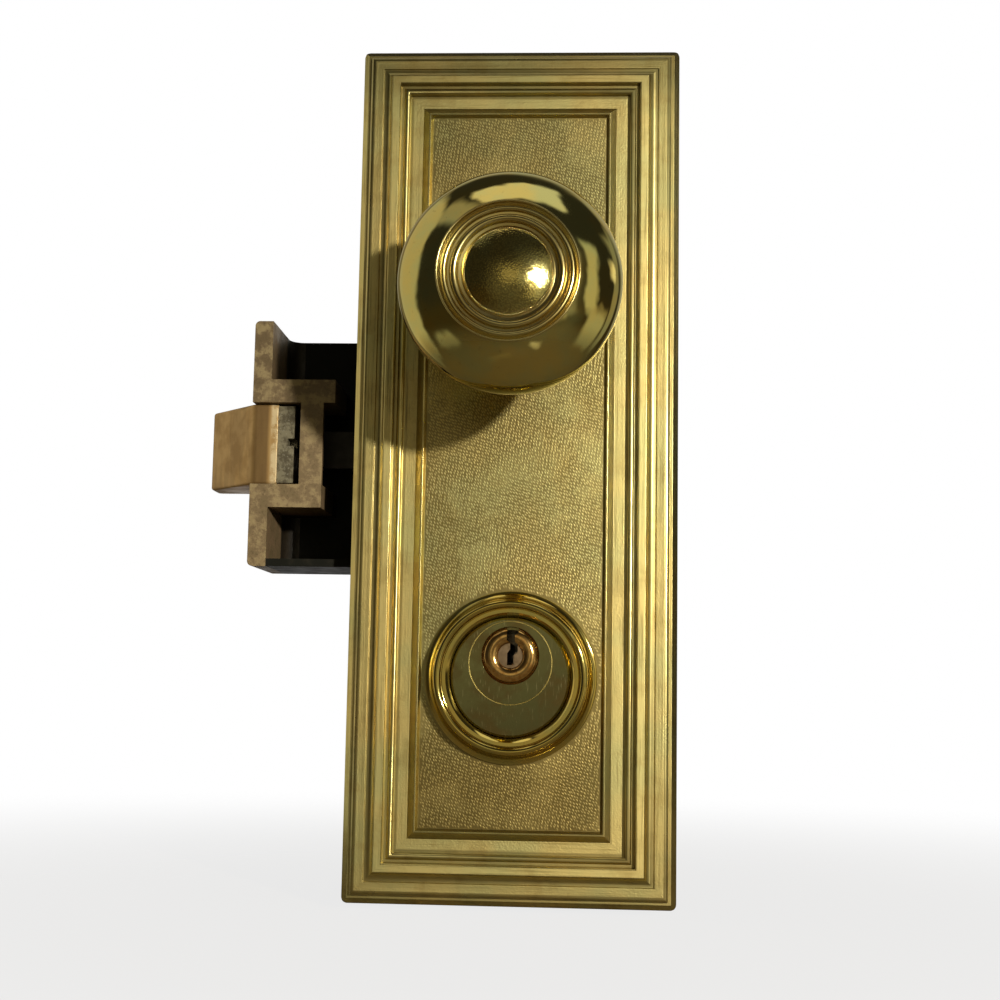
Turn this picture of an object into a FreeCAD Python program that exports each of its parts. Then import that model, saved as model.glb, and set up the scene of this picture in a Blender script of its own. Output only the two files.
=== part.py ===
# Outside trim and lock case of a mortise knob lockset, in millimetres.
# Origin: centre of the escutcheon's back plane, on the door's outside face.
# X to the right, Y into the door, Z up. The trim stands at negative Y.
import FreeCAD, Part
import os
from math import atan2, cos, degrees, hypot, radians, sin, sqrt

V = FreeCAD.Vector

# Clearances
slide_gap = 0.3
guide_gap = 0.15
turn_gap = 0.06
snug = 0.02
face_gap = 0.05
end_play = 0.1

# Escutcheon outline
plate_w = 82.55
plate_h = 219.1
plate_corner_r = 1.6
plate_wall = 2.0
field_h = 3.5

# Moulded border, widths of its members counted inwards from the outline, shares of the plate's
edge_slope_w = 0.0170 * plate_w
edge_step_w = 0.0085 * plate_w
ovolo_w = 0.0157 * plate_w
fascia_w = 0.0254 * plate_w
cove_w = 0.0303 * plate_w
crest_w = 0.0279 * plate_w
groove_w = 0.0109 * plate_w
astragal_w = 0.0194 * plate_w
quirk_w = 0.0097 * plate_w
band_w = 0.0315 * plate_w
ridge_slope_w = 0.0194 * plate_w
ridge_w = 0.0048 * plate_w
ridge_drop_w = 0.0073 * plate_w
rim_w = 2.8
member_break = 0.2
back_lag = 0.8
boss_wall = 1.6
seat_rib_w = 8.0
plate_skin = 0.9

# Moulded border, heights of its members above the door
edge_h = 1.1
slope_h = 2.3
step_h = 2.9
fascia_h = 3.9
cove_foot_h = 3.6
crest_h = 6.1
groove_h = 4.5
astragal_h = 5.1
band_h = 3.4
ridge_h = 4.7

# Knob and its bearing
knob_z = 36.5
knob_d = 52.0
knob_centre_y = -43.7
knob_front_l = 10.8
knob_front_turn = 8.0
knob_back_l = 17.0
knob_back_turn = 14.0
knob_wall = 1.8
knob_face_t = 3.0
knob_neck_r = 11.9
neck_lip_t = 3.0
neck_cove = 3.0
waist_r = 10.4
shank_foot_r = 13.0
shank_foot_t = 1.2
shank_foot_slope = 2.2
shank_nose_r = 7.5
shank_nose_l = 2.0
shank_screw_out = 5.2
face_ring_r = 16.3
dome_r = 9.9
dome_rise = 2.2
dome_sunk = 0.8
# Each ring's outer and inner radius, how far its foot is sunk below the rim, and its rise
knob_rings = [(16.1, 14.8, 0.5, 0.7), (14.5, 13.6, 0.9, 0.6), (13.2, 10.9, 1.0, 1.1)]
shank_r = 9.5
shank_end_y = 7.0
bush_r = 12.3
bush_flange_w = 2.7
bush_flange_t = 3.2
bush_bevel = 1.4
bush_nut_w = 4.2
bush_nut_t = 3.6
ring_t = 1.0
ring_groove = 0.7
ring_mouth = 2.4
spindle_side = 7.94
spindle_edge_r = 0.5
spindle_front_y = -37.0
spindle_end_y = 62.0

# Cylinder and collar
cylinder_z = -53.5
cylinder_r = 14.6
cylinder_end_y = 23.0
collar_clear = 1.07
collar_h = 6.6
collar_foot_t = 0.8
collar_bead_rise = 1.1
funnel_depth = 1.1
groove_drop = 0.4
face_above_field = 5.8
plug_rise = 5.3
plug_face_r = 7.05
plug_r = 6.35
plug_face_t = 2.2
nose_flat_r = 3.2
nose_flat_h = 0.3
nose_top_r = 4.9
nose_top_w = 1.2
nose_rise = 1.2
scribe_r = 10.2
scribe_rise = 3.5
scribe_depth = 0.16
face_break = 0.5
pin_r = 1.4
pin_pitch = 4.0
pin_count = 5
first_pin_back = 5.0
driver_l = 5.2
key_pin_l = 3.0
key_pin_step = 0.4
pin_cap_t = 1.0

# Lock case
case_near_y = 8.0
case_far_y = 36.5
case_wall = 2.0
case_left_x = -40.0
case_right_x = 28.0
case_top_z = 60.0
case_bottom_z = -76.0
case_corner_r = 4.0
post_x = (-26.0, 20.0)
post_z = (54.0, -70.0)
post_r = 3.6
spacer_r = 4.2
screw_r = 2.0
screw_play = 0.15
ring_l = 8.0
screw_head_r = 3.6
screw_head_t = 2.2
screw_bevel = 1.1
slot_w = 0.9
slot_depth = 1.0

# Front and bolt housing
backset = 69.85
front_t = 4.85
front_low_z = -25.7
front_high_z = 39.4
front_edge_r = 1.3
front_fillet = 4.0
arm_t = 6.1
arm_end_x = -48.0
bar_left_x = -57.0
bar_right_x = -51.0
bar_t = 1.8
front_screw_in = 4.4
front_screw_l = 11.0

# Latch bolt
bolt_z = 6.75
bolt_h = 21.4
bolt_throw = 14.2
bolt_back_x = -63.4
bolt_far_y = 33.0
bolt_tip_y = 25.0
bolt_root_r = 2.6
bolt_tip_r = 1.2
bolt_heel_r = 1.8
bolt_edge_r = 0.8
bolt_pin_r = 1.25
bolt_pin_grip = 2.8
tang_l = 8.0
block_back_x = -59.0
block_inset = 0.5
notch_z = 7.35
notch_w = 2.0
notch_depth = 1.7
notch_l = 5.0
tail_h = 10.0
tail_t = 3.0
tail_y = 19.8
lug_w = 5.0
lug_top_z = 25.0

# Latch spring and its seats
spring_start_x = -38.0
spring_end_x = -14.0
spring_r = 6.4
spring_wire = 1.4
spring_turns = 4
spring_pin_r = 1.5
spring_pin_half = 6.0
rivet_r = 1.2
rivet_head_r = 2.1
rivet_head_t = 0.8
bracket_t = 2.0
washer_t = 1.5
bracket_half = 11.0
bracket_foot = 9.0
tail_way = 0.4

# Hub
hub_r = 10.0
journal_r = 8.0
hub_arm = 20.0
toe_r = 3.0
hub_root_r = 3.6
hub_arm_t = 3.6
lug_lead = 0.9

# Key lever and cam
lever_x = 8.3
lever_z = -2.0
lever_t = 2.6
lever_arm = 24.4
lever_tip_r = 2.5
lever_hub_r = 5.5
tip_clear = 0.4
tine_short = 1.2
stud_r = 3.0
stud_shoulder_r = 4.5
stud_upset = 0.5
cam_t = 2.8
cam_r = 7.5
cam_arm = 15.5
cam_root_r = 4.0
cam_tip_r = 2.5
cam_screw_r = 1.0
cam_screw_l = 5.5
cam_head_r = 1.9
cam_head_t = 1.3
cam_slot_w = 0.5
fork_slot = 4.8
fork_tine = 3.0
key_turn = 90.0

# Mounting posts for the bolts of the inside trim
mount_z = 86.0
mount_post_r = 4.5
mount_post_l = 30.0
mount_bore_r = 2.1
mount_bore_l = 18.0
stud_into_plate = 1.6
post_stud_r = 2.5

# Worked out from the sizes above
half_w = plate_w / 2
half_h = plate_h / 2
border_w = (edge_slope_w + edge_step_w + ovolo_w + fascia_w + cove_w + crest_w + groove_w
            + astragal_w + quirk_w + band_w + ridge_slope_w + ridge_w + ridge_drop_w)
collar_r = half_w - border_w - collar_clear
collar_w = collar_r - cylinder_r
spigot_r = cylinder_r + 0.26 * collar_w
collar_bead_r = cylinder_r + 0.66 * collar_w
collar_bead_w = 0.3 * collar_w
ring_spigot_r = cylinder_r + case_wall
ring_flange_r = ring_spigot_r + case_wall
ring_seat_r = shank_r - ring_groove
ring_out_r = shank_r + 1.5 * ring_t
bush_nut_r = bush_r + bush_nut_w
bush_flange_r = bush_r + bush_flange_w
washer_r = spring_r + spring_wire
knob_r = knob_d / 2
face_y = -field_h - face_above_field
front_x = -backset
front_back_x = front_x + front_t
far_in_y = case_far_y - case_wall
cover_in_y = case_near_y + case_wall
bolt_low_z = bolt_z - bolt_h / 2
bolt_high_z = bolt_z + bolt_h / 2
bolt_near_y = case_near_y + bar_t + slide_gap
tail_far_y = tail_y + tail_t
lever_y = tail_far_y + tail_way
cam_y = cylinder_end_y + 0.2
set_screw_y = cover_in_y + ring_l / 2
plug_z = cylinder_z + plug_rise
toe_z = knob_z - hub_arm
lug_x = toe_r + lug_lead
lever_reach = hypot(lever_x, lever_z - plug_z)
centre_line = degrees(atan2(lever_x, lever_z - plug_z))
half_key = radians(key_turn / 2)
lever_half = atan2(cam_arm * sin(half_key), lever_reach - cam_arm * cos(half_key))
lever_half_deg = degrees(lever_half)
bush_end_y = bush_nut_t + 0.5
shank_screw_y = -field_h - bush_flange_t - shank_screw_out
pin_places = [face_y + first_pin_back + pin_pitch * i for i in range(pin_count)]
cam_screw_x = plug_r - 2.4
neck_end_x = case_left_x + case_wall
bolt_pin_x = bolt_back_x - tang_l / 2
bolt_pin_z = (bolt_z - tail_h / 4, bolt_z + tail_h / 4)
spring_axis_y = tail_y + tail_t / 2
spring_pin_x = spring_start_x - washer_t - spring_pin_r
bracket_rivet_x = spring_end_x + (bracket_t + bracket_foot) / 2 + 1.0
bracket_rivet_z = (bolt_z - bracket_half / 2, bolt_z + bracket_half / 2)


def box(x0, x1, y0, y1, z0, z1):
    return Part.makeBox(x1 - x0, y1 - y0, z1 - z0, V(x0, y0, z0))


def rod_y(x, z, r, y0, y1):
    return Part.makeCylinder(r, y1 - y0, V(x, y0, z), V(0, 1, 0))


def tube_y(x, z, r, bore, y0, y1):
    return rod_y(x, z, r, y0, y1).cut(rod_y(x, z, bore, y0, y1))


def fuse(*shapes):
    return shapes[0].fuse(list(shapes[1:])).removeSplitter()


def wire(steps, place):
    # A step is a point, or a pair (through, end) for an arc; place turns (a, b) into a vector.
    edges = []
    at = steps[0]
    for step in steps[1:] + [steps[0]]:
        if isinstance(step[0], tuple):
            through, end = step
            edges.append(Part.Arc(place(*at), place(*through), place(*end)).toShape())
            at = end
        elif hypot(step[0] - at[0], step[1] - at[1]) > 1e-6:
            edges.append(Part.makeLine(place(*at), place(*step)))
            at = step
    return Part.Wire(edges)


def turned(steps, x, z):
    # A closed section in (radius, y), revolved about an axis along Y through (x, z).
    section = Part.Face(wire(steps, lambda r, y: V(x + r, y, z)))
    return section.revolve(V(x, 0, z), V(0, 1, 0), 360)


def plate_y(steps, y0, y1):
    # A closed outline in (x, z), y0 to y1 thick.
    return Part.Face(wire(steps, lambda x, z: V(x, y0, z))).extrude(V(0, y1 - y0, 0))


def quarter(a, b, bulge):
    # The point through which a quarter ellipse from a to b passes; bulge names its corner.
    k = sqrt(0.5)
    centre = (a[0] + b[0] - bulge[0], a[1] + b[1] - bulge[1])
    return (centre[0] + (bulge[0] - centre[0]) * k, centre[1] + (bulge[1] - centre[1]) * k)


def bead(outer, inner, foot_y, rise):
    # A turned ring in (radius, y), from its outer foot to its inner one, with a flat top.
    slope = 0.3 * (outer - inner)
    return [(outer, foot_y), (outer - slope, foot_y - rise), (inner + slope, foot_y - rise),
            (inner, foot_y)]


def link(x0, z0, r0, x1, z1, r1, y0, y1):
    # A flat link whose ends are round and whose sides are tangent to both ends.
    dx = x1 - x0
    dz = z1 - z0
    length = hypot(dx, dz)
    ux, uz = dx / length, dz / length
    s = (r0 - r1) / length
    c = sqrt(1 - s * s)
    ends = []
    for side in (1, -1):
        nx = ux * s - side * uz * c
        nz = uz * s + side * ux * c
        ends.append(((x0 + nx * r0, z0 + nz * r0), (x1 + nx * r1, z1 + nz * r1)))
    steps = [ends[0][0], ends[0][1], ((x1 + ux * r1, z1 + uz * r1), ends[1][1]), ends[1][0],
             ((x0 - ux * r0, z0 - uz * r0), ends[0][0])]
    return plate_y(steps, y0, y1)


def square_bar(side, x, z, y0, y1):
    return box(x - side / 2, x + side / 2, y0, y1, z - side / 2, z + side / 2)


def fillet_along(shape, axis, r):
    # Rounds the straight edges that run along one axis.
    chosen = []
    for edge in shape.Edges:
        if len(edge.Vertexes) != 2:
            continue
        a, b = edge.Vertexes[0].Point, edge.Vertexes[1].Point
        run = b.sub(a)
        if abs(abs(run.dot(axis)) - run.Length) < 1e-6 and run.Length > 1e-6:
            chosen.append(edge)
    return shape.makeFillet(r, chosen)


def escutcheon():
    # Cast brass plate: one moulded section carried round the outline, with a field inside it.
    b1 = edge_slope_w
    b2 = b1 + edge_step_w
    b3 = b2 + ovolo_w
    b4 = b3 + fascia_w
    b5 = b4 + cove_w
    b6 = b5 + crest_w
    b7 = b6 + groove_w
    b8 = b7 + astragal_w
    b13 = border_w
    b12 = b13 - ridge_drop_w
    b11 = b12 - ridge_w
    b10 = b11 - ridge_slope_w
    inner = b13 + 2 * member_break
    back_h = field_h - plate_wall
    ovolo = ((b2, step_h), (b3, fascia_h))
    cove = ((b4 + member_break, cove_foot_h), (b5, crest_h - member_break))
    front = [
        (0, 0), (0, edge_h), (b1, slope_h), (b2, slope_h), ovolo[0],
        (quarter(*ovolo, (b2, fascia_h)), ovolo[1]), (b4, fascia_h), cove[0],
        (quarter(*cove, (b5, cove_foot_h)), cove[1]), (b5 + member_break, crest_h),
        (b6 - member_break, crest_h), (b6, crest_h - member_break), (b6 + member_break, groove_h),
        (b7, groove_h), (((b7 + b8) / 2, astragal_h), (b8, groove_h)), (b8, band_h),
        (b10, band_h), (b11, ridge_h), (b12, ridge_h), (b13, field_h), (inner, field_h)]
    back = [
        (inner, back_h), (b8, back_h), (b8 - back_lag, groove_h - plate_wall),
        (b6, groove_h - plate_wall), (b6 - back_lag, crest_h - plate_wall),
        (b5 + back_lag, crest_h - plate_wall), (b4 + back_lag, fascia_h - plate_wall),
        (b3 + back_lag, fascia_h - plate_wall), (rim_w, 0)]
    section = wire(front + back, lambda b, h: V(0, -h, b - half_h))
    path = Part.makePolygon([V(0, 0, -half_h), V(half_w, 0, -half_h), V(half_w, 0, half_h),
                             V(-half_w, 0, half_h), V(-half_w, 0, -half_h), V(0, 0, -half_h)])
    sweep = Part.BRepOffsetAPI.MakePipeShell(path)
    sweep.setTransitionMode(1)
    sweep.add(section)
    sweep.build()
    sweep.makeSolid()
    frame = sweep.shape()
    inside_w = half_w - b13 - member_break
    inside_h = half_h - b13 - member_break
    field = box(-inside_w, inside_w, -field_h, -back_h, -inside_h, inside_h)

    # Bosses and a seating rib stand from inside the wall back to the door.
    root_y = -back_h - plate_wall / 4
    bosses = [rod_y(0, knob_z, bush_nut_r + boss_wall, root_y, 0),
              rod_y(0, cylinder_z, spigot_r + boss_wall, root_y, 0)]
    for z in (mount_z, -mount_z):
        bosses.append(rod_y(0, z, mount_post_r + boss_wall, root_y, 0))
    for x in post_x:
        for z in post_z:
            bosses.append(rod_y(x, z, post_r + boss_wall, root_y, 0))
    bosses.append(box(b8 - half_w, half_w - b8, root_y, 0, -seat_rib_w / 2, seat_rib_w / 2))
    plate = fuse(frame, field, *bosses)
    outline = box(-half_w, half_w, -crest_h - 1, 1, -half_h, half_h)
    plate = plate.common(fillet_along(outline, V(0, 1, 0), plate_corner_r))
    plate = plate.cut(rod_y(0, knob_z, bush_r + turn_gap, -field_h - 1, 1))
    plate = plate.cut(rod_y(0, cylinder_z, spigot_r + snug, -field_h - 1, 1))
    for x in post_x:
        for z in post_z:
            plate = plate.cut(rod_y(x, z, screw_r + snug, plate_skin - field_h, 1))
    for z in (mount_z, -mount_z):
        plate = plate.cut(rod_y(0, z, post_stud_r + snug, -stud_into_plate - end_play, 1))
    return plate


def knob_side(turn, end_r, end_l, way):
    # Two tangent arcs from the knob's widest circle to (end_r, end_l in front of it or behind it):
    # the first has radius turn and runs 45 degrees, the second is as flat as the end needs.
    k = sqrt(0.5)
    out = end_r - (knob_r - turn)
    flat = (out ** 2 + end_l ** 2 - turn ** 2) / (2 * (turn - (out + end_l) * k))

    def at(centre_r, centre_l, r, angle):
        return (centre_r + r * cos(angle), knob_centre_y + way * (centre_l + r * sin(angle)))

    first = (knob_r - turn, 0, turn)
    second = (knob_r - turn - flat * k, -flat * k, turn + flat)
    last = atan2(end_l + flat * k, end_r - second[0])
    join = at(*first, radians(45))
    return [at(*first, 0), at(*first, radians(22.5)), join,
            at(*second, (radians(45) + last) / 2), at(*second, last)]


def knob():
    # Spun brass, hollow, a flattened ball open at the back, with turned rings round a domed centre.
    front_y = knob_centre_y - knob_front_l
    back_r = knob_neck_r + end_play
    widest, *behind = knob_side(knob_back_turn, back_r, knob_back_l, 1)
    ahead = knob_side(knob_front_turn, face_ring_r, knob_front_l, -1)[1:]
    steps = [behind[3], (behind[2], behind[1]), (behind[0], widest), (ahead[0], ahead[1]),
             (ahead[2], ahead[3])]
    for outer, inner, sunk, rise in knob_rings:
        steps += bead(outer, inner, front_y + sunk, rise)
    steps.append((dome_r, front_y + dome_sunk))
    dome_y = front_y + dome_sunk - dome_rise
    dome_ball = (dome_r ** 2 + dome_rise ** 2) / (2 * dome_rise)
    mid_r = dome_r / 2
    steps.append(((mid_r, dome_y + dome_ball - sqrt(dome_ball ** 2 - mid_r ** 2)), (0, dome_y)))

    # Inside, the wall follows the shoulders and runs straight to the face and to the neck.
    k = sqrt(0.5)
    in_front_y = front_y + knob_face_t
    front_in = knob_front_turn - knob_wall
    back_in = knob_back_turn - knob_wall
    front_c = knob_r - knob_front_turn
    back_c = knob_r - knob_back_turn
    steps += [(0, in_front_y), (face_ring_r - knob_wall, in_front_y),
              (front_c + front_in * k, knob_centre_y - front_in * k),
              ((front_c + front_in * cos(radians(22.5)), knob_centre_y - front_in * sin(radians(22.5))),
               (knob_r - knob_wall, knob_centre_y)),
              ((back_c + back_in * cos(radians(22.5)), knob_centre_y + back_in * sin(radians(22.5))),
               (back_c + back_in * k, knob_centre_y + back_in * k)),
              (back_r, knob_centre_y + knob_back_l - knob_wall)]
    return turned(steps, 0, knob_z)


def knob_shank():
    # Cast neck and shank: a flange that closes the ball, a waisted neck, a bearing, a square hole.
    lip_y = knob_centre_y + knob_back_l + neck_lip_t / 8
    nose_y = spindle_front_y - shank_nose_l
    shoulder_y = -field_h - bush_flange_t - slide_gap
    foot_y = shoulder_y - shank_foot_t
    groove_y = bush_end_y + end_play
    neck = ((knob_neck_r, lip_y), (waist_r, lip_y + neck_cove))
    steps = [
        (0, nose_y), (shank_nose_r, nose_y), (shank_nose_r, lip_y - neck_lip_t),
        (knob_neck_r, lip_y - neck_lip_t), neck[0],
        (quarter(*neck, (waist_r, lip_y)), neck[1]), (waist_r, foot_y - shank_foot_slope),
        (shank_foot_r, foot_y), (shank_foot_r, shoulder_y), (shank_r, shoulder_y),
        (shank_r, groove_y), (ring_seat_r, groove_y), (ring_seat_r, groove_y + ring_t + end_play),
        (shank_r, groove_y + ring_t + end_play), (shank_r, shank_end_y), (0, shank_end_y)]
    body = turned(steps, 0, knob_z)
    hole = square_bar(spindle_side + 2 * turn_gap, 0, knob_z, spindle_front_y - end_play,
                      shank_end_y + 1)
    tapped = Part.makeCylinder(screw_r + snug, shank_r + 2, V(0, shank_screw_y, knob_z), V(1, 0, 0))
    return body.cut([hole, tapped])


def knob_set_screw():
    inner = spindle_side / 2
    length = waist_r - inner
    screw = Part.makeCylinder(screw_r, length, V(inner, shank_screw_y, knob_z), V(1, 0, 0))
    slot = box(waist_r - slot_depth, waist_r, shank_screw_y - screw_r, shank_screw_y + screw_r,
               knob_z - slot_w / 2, knob_z + slot_w / 2)
    return screw.cut(slot)


def knob_bush():
    top_y = -field_h - bush_flange_t
    steps = [
        (shank_r + turn_gap, bush_end_y), (shank_r + turn_gap, top_y),
        (bush_flange_r - bush_bevel, top_y), (bush_flange_r, top_y + bush_bevel),
        (bush_flange_r, -field_h), (bush_r, -field_h), (bush_r, bush_end_y)]
    return turned(steps, 0, knob_z)


def bush_nut():
    steps = []
    for corner in range(6):
        a = radians(60 * corner)
        steps.append((bush_nut_r * cos(a), knob_z + bush_nut_r * sin(a)))
    nut = plate_y(steps, 0, bush_nut_t)
    return nut.cut(rod_y(0, knob_z, bush_r + snug, -1, bush_nut_t + 1))


def shank_ring():
    y0 = bush_end_y + 1.5 * end_play
    ring = tube_y(0, knob_z, ring_out_r, ring_seat_r + snug, y0, y0 + ring_t)
    mouth = box(-ring_mouth / 2, ring_mouth / 2, y0 - 1, y0 + ring_t + 1, knob_z - ring_out_r, knob_z)
    return ring.cut(mouth)


def spindle():
    bar = square_bar(spindle_side, 0, knob_z, spindle_front_y, spindle_end_y)
    return fillet_along(bar, V(0, 1, 0), spindle_edge_r)


def hub():
    # Follower: two journals, a drum and one arm whose toe draws the latch's tail.
    arm_y = tail_y - slide_gap
    body = fuse(rod_y(0, knob_z, journal_r, case_near_y + end_play, case_far_y - end_play),
                rod_y(0, knob_z, hub_r, cover_in_y + slide_gap, far_in_y - slide_gap),
                link(0, knob_z, hub_root_r, 0, toe_z, toe_r, arm_y, arm_y + hub_arm_t))
    return body.cut(square_bar(spindle_side + 2 * turn_gap, 0, knob_z, 0, case_far_y + 1))


def collar():
    # Turned ring: coved outside, a bead, a groove, a funnel down to the cylinder's face.
    base = -field_h
    end = base + plate_wall - slide_gap
    top = base - collar_h
    foot = top + collar_bead_rise
    bead_in_r = collar_bead_r - collar_bead_w
    cove = ((collar_r, base - collar_foot_t), (collar_bead_r, foot + collar_foot_t))
    bore = cylinder_r + turn_gap
    steps = [
        (bore, end), (bore, face_y + funnel_depth), (bead_in_r - groove_drop, foot - groove_drop),
        (bead_in_r - groove_drop / 2, foot), *bead(collar_bead_r, bead_in_r, foot, collar_bead_rise)[::-1],
        cove[1], (quarter(*cove, (cove[1][0], cove[0][1])), cove[0]), (collar_r, base),
        (spigot_r, base), (spigot_r, end)]
    return turned(steps, 0, cylinder_z)


def cylinder_shell():
    body = turned([(0, face_y), (cylinder_r - face_break, face_y), (cylinder_r, face_y + face_break),
                   (cylinder_r, cylinder_end_y), (0, cylinder_end_y)], 0, cylinder_z)
    hole = fuse(rod_y(0, plug_z, plug_face_r + turn_gap, face_y - 1, face_y + plug_face_t),
                rod_y(0, plug_z, plug_r + turn_gap, face_y, cylinder_end_y + 1))
    scribe = turned([(scribe_r - scribe_depth, face_y - 0.01), (scribe_r, face_y + scribe_depth),
                     (scribe_r + scribe_depth, face_y - 0.01)], 0, cylinder_z + scribe_rise)
    body = body.cut([hole, scribe])
    for y in pin_places:
        bore = Part.makeCylinder(pin_r + snug, cylinder_r * 2, V(0, y, plug_z), V(0, 0, -1))
        body = body.cut(bore)
    return body


def cylinder_plug():
    # The nose is a raised ring round a flat centre; the keyway opens at the top.
    nose_y = face_y - nose_rise
    flat_y = face_y - nose_flat_h
    step_y = face_y + plug_face_t - face_gap
    steps = [
        (0, flat_y), (nose_flat_r, flat_y), (nose_top_r - nose_top_w / 2, nose_y),
        (nose_top_r + nose_top_w / 2, nose_y), (plug_face_r - face_break, face_y),
        (plug_face_r, face_y + face_break), (plug_face_r, step_y), (plug_r, step_y),
        (plug_r, cylinder_end_y), (0, cylinder_end_y)]
    body = turned(steps, 0, plug_z)
    top = plug_face_r + 1
    ward = [(-0.6, top), (-0.6, 4.0), (0.1, 3.3), (0.1, 1.6), (-0.6, 0.6), (-0.6, -2.1),
            (0.7, -2.1), (0.7, 0.2), (1.6, 1.1), (1.6, 2.6), (0.9, 3.3), (0.9, 5.2),
            (1.8, 5.7), (1.8, top)]
    keyway = plate_y([(x, plug_z + z) for x, z in ward], nose_y - 1, cylinder_end_y + 1)
    body = body.cut(keyway)
    for y in pin_places:
        body = body.cut(Part.makeCylinder(pin_r + snug, plug_r + 1, V(0, y, plug_z), V(0, 0, -1)))
    for side in (-1, 1):
        body = body.cut(rod_y(side * cam_screw_x, plug_z, cam_screw_r + snug,
                              cylinder_end_y - cam_screw_l - end_play, cylinder_end_y + 1))
    return body


def key_pins():
    # The pins stand at the shear line, as they do with the key in.
    pins = []
    for i, y in enumerate(pin_places):
        length = key_pin_l + key_pin_step * (i * 2 % pin_count)
        low = plug_z - sqrt(plug_r ** 2 - pin_r ** 2)
        pins.append(Part.makeCylinder(pin_r, length, V(0, y, low), V(0, 0, 1)))
    inside = rod_y(0, plug_z, plug_r, face_y, cylinder_end_y)
    return Part.makeCompound([pin.common(inside) for pin in pins])


def driver_pins():
    top = plug_z - plug_r - turn_gap - end_play
    return Part.makeCompound([
        Part.makeCylinder(pin_r, driver_l, V(0, y, top - driver_l), V(0, 0, 1)) for y in pin_places])


def chamber_caps():
    low = cylinder_z - sqrt(cylinder_r ** 2 - pin_r ** 2)
    caps = [Part.makeCylinder(pin_r, pin_cap_t, V(0, y, low), V(0, 0, 1)) for y in pin_places]
    return Part.makeCompound(caps)


def cylinder_cam():
    rest = radians(centre_line + key_turn / 2)
    tip_x = cam_arm * sin(rest)
    tip_z = plug_z + cam_arm * cos(rest)
    cam = fuse(rod_y(0, plug_z, cam_r, cam_y, cam_y + cam_t),
               link(0, plug_z, cam_root_r, tip_x, tip_z, cam_tip_r, cam_y, cam_y + cam_t))
    for side in (-1, 1):
        cam = cam.cut(rod_y(side * cam_screw_x, plug_z, cam_screw_r + snug, cam_y - 1, cam_y + cam_t + 1))
    return cam


def cam_screws():
    screws = []
    back = cam_y + cam_t
    for side in (-1, 1):
        x = side * cam_screw_x
        head = rod_y(x, plug_z, cam_head_r, back, back + cam_head_t)
        slot = box(x - cam_head_r, x + cam_head_r, back + cam_head_t / 2, back + cam_head_t + 1,
                   plug_z - cam_slot_w / 2, plug_z + cam_slot_w / 2)
        shank = rod_y(x, plug_z, cam_screw_r, cylinder_end_y - cam_screw_l, back)
        screws.append(fuse(head.cut(slot), shank))
    return Part.makeCompound(screws)


def cylinder_ring():
    # Threaded ring of the case: a spigot in the cover's hole, a flange inside it.
    bore = cylinder_r + snug
    ring = fuse(tube_y(0, cylinder_z, ring_spigot_r, bore, case_near_y, cover_in_y),
                tube_y(0, cylinder_z, ring_flange_r, bore, cover_in_y, cover_in_y + ring_l))
    return ring.cut(Part.makeCylinder(screw_r + snug, ring_flange_r, V(0, set_screw_y, cylinder_z),
                                      V(0, 0, -1)))


def cylinder_set_screw():
    top = cylinder_z - cylinder_r - face_gap
    low = case_bottom_z + slide_gap
    screw = Part.makeCylinder(screw_r, top - low, V(0, set_screw_y, low), V(0, 0, 1))
    return screw.cut(box(-screw_r, screw_r, set_screw_y - slot_w / 2, set_screw_y + slot_w / 2,
                         low - 1, low + slot_depth))


def case_block(inset, y0, y1):
    block = box(case_left_x + inset, case_right_x - inset, y0, y1,
                case_bottom_z + inset, case_top_z - inset)
    return fillet_along(block, V(0, 1, 0), case_corner_r - inset)


def case():
    # Far plate and walls; the neck towards the front keeps only its far plate and bottom wall.
    body = fuse(case_block(0, cover_in_y, case_far_y),
                box(front_back_x, case_left_x, case_near_y, case_far_y, front_low_z, front_high_z))
    body = body.cut([case_block(case_wall, cover_in_y - 1, far_in_y),
                     box(front_back_x - 1, neck_end_x + 1, case_near_y - 1, far_in_y,
                         front_low_z + case_wall, front_high_z + 1)])
    holes = [rod_y(0, knob_z, journal_r + turn_gap, far_in_y - 1, case_far_y + 1),
             rod_y(lever_x, lever_z, stud_r + snug, far_in_y - 1, case_far_y + 1),
             Part.makeCylinder(screw_r + screw_play, case_wall + 2,
                               V(0, set_screw_y, case_bottom_z - 1), V(0, 0, 1))]
    for x in post_x:
        for z in post_z:
            holes.append(rod_y(x, z, screw_r + screw_play, far_in_y - 1, case_far_y + 1))
    for x, z in front_screw_places():
        holes.append(rod_y(x, z, screw_r + screw_play, far_in_y - 1, case_far_y + 1))
    for z in bracket_rivet_z:
        holes.append(rod_y(bracket_rivet_x, z, rivet_r + snug, far_in_y - 1, case_far_y + 1))
    return body.cut(holes)


def case_cover():
    cover = case_block(0, case_near_y, cover_in_y)
    holes = [rod_y(0, knob_z, journal_r + turn_gap, case_near_y - 1, cover_in_y + 1),
             rod_y(0, cylinder_z, ring_spigot_r + snug, case_near_y - 1, cover_in_y + 1)]
    for x in post_x:
        for z in post_z:
            holes.append(rod_y(x, z, screw_r + screw_play, case_near_y - 1, cover_in_y + 1))
    return cover.cut(holes)


def at_posts(make):
    return Part.makeCompound([make(x, z) for x in post_x for z in post_z])


def case_posts():
    return at_posts(lambda x, z: tube_y(x, z, post_r, screw_r + screw_play, cover_in_y, far_in_y))


def plate_spacers():
    return at_posts(lambda x, z: tube_y(x, z, spacer_r, screw_r + screw_play, 0, case_near_y))


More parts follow.
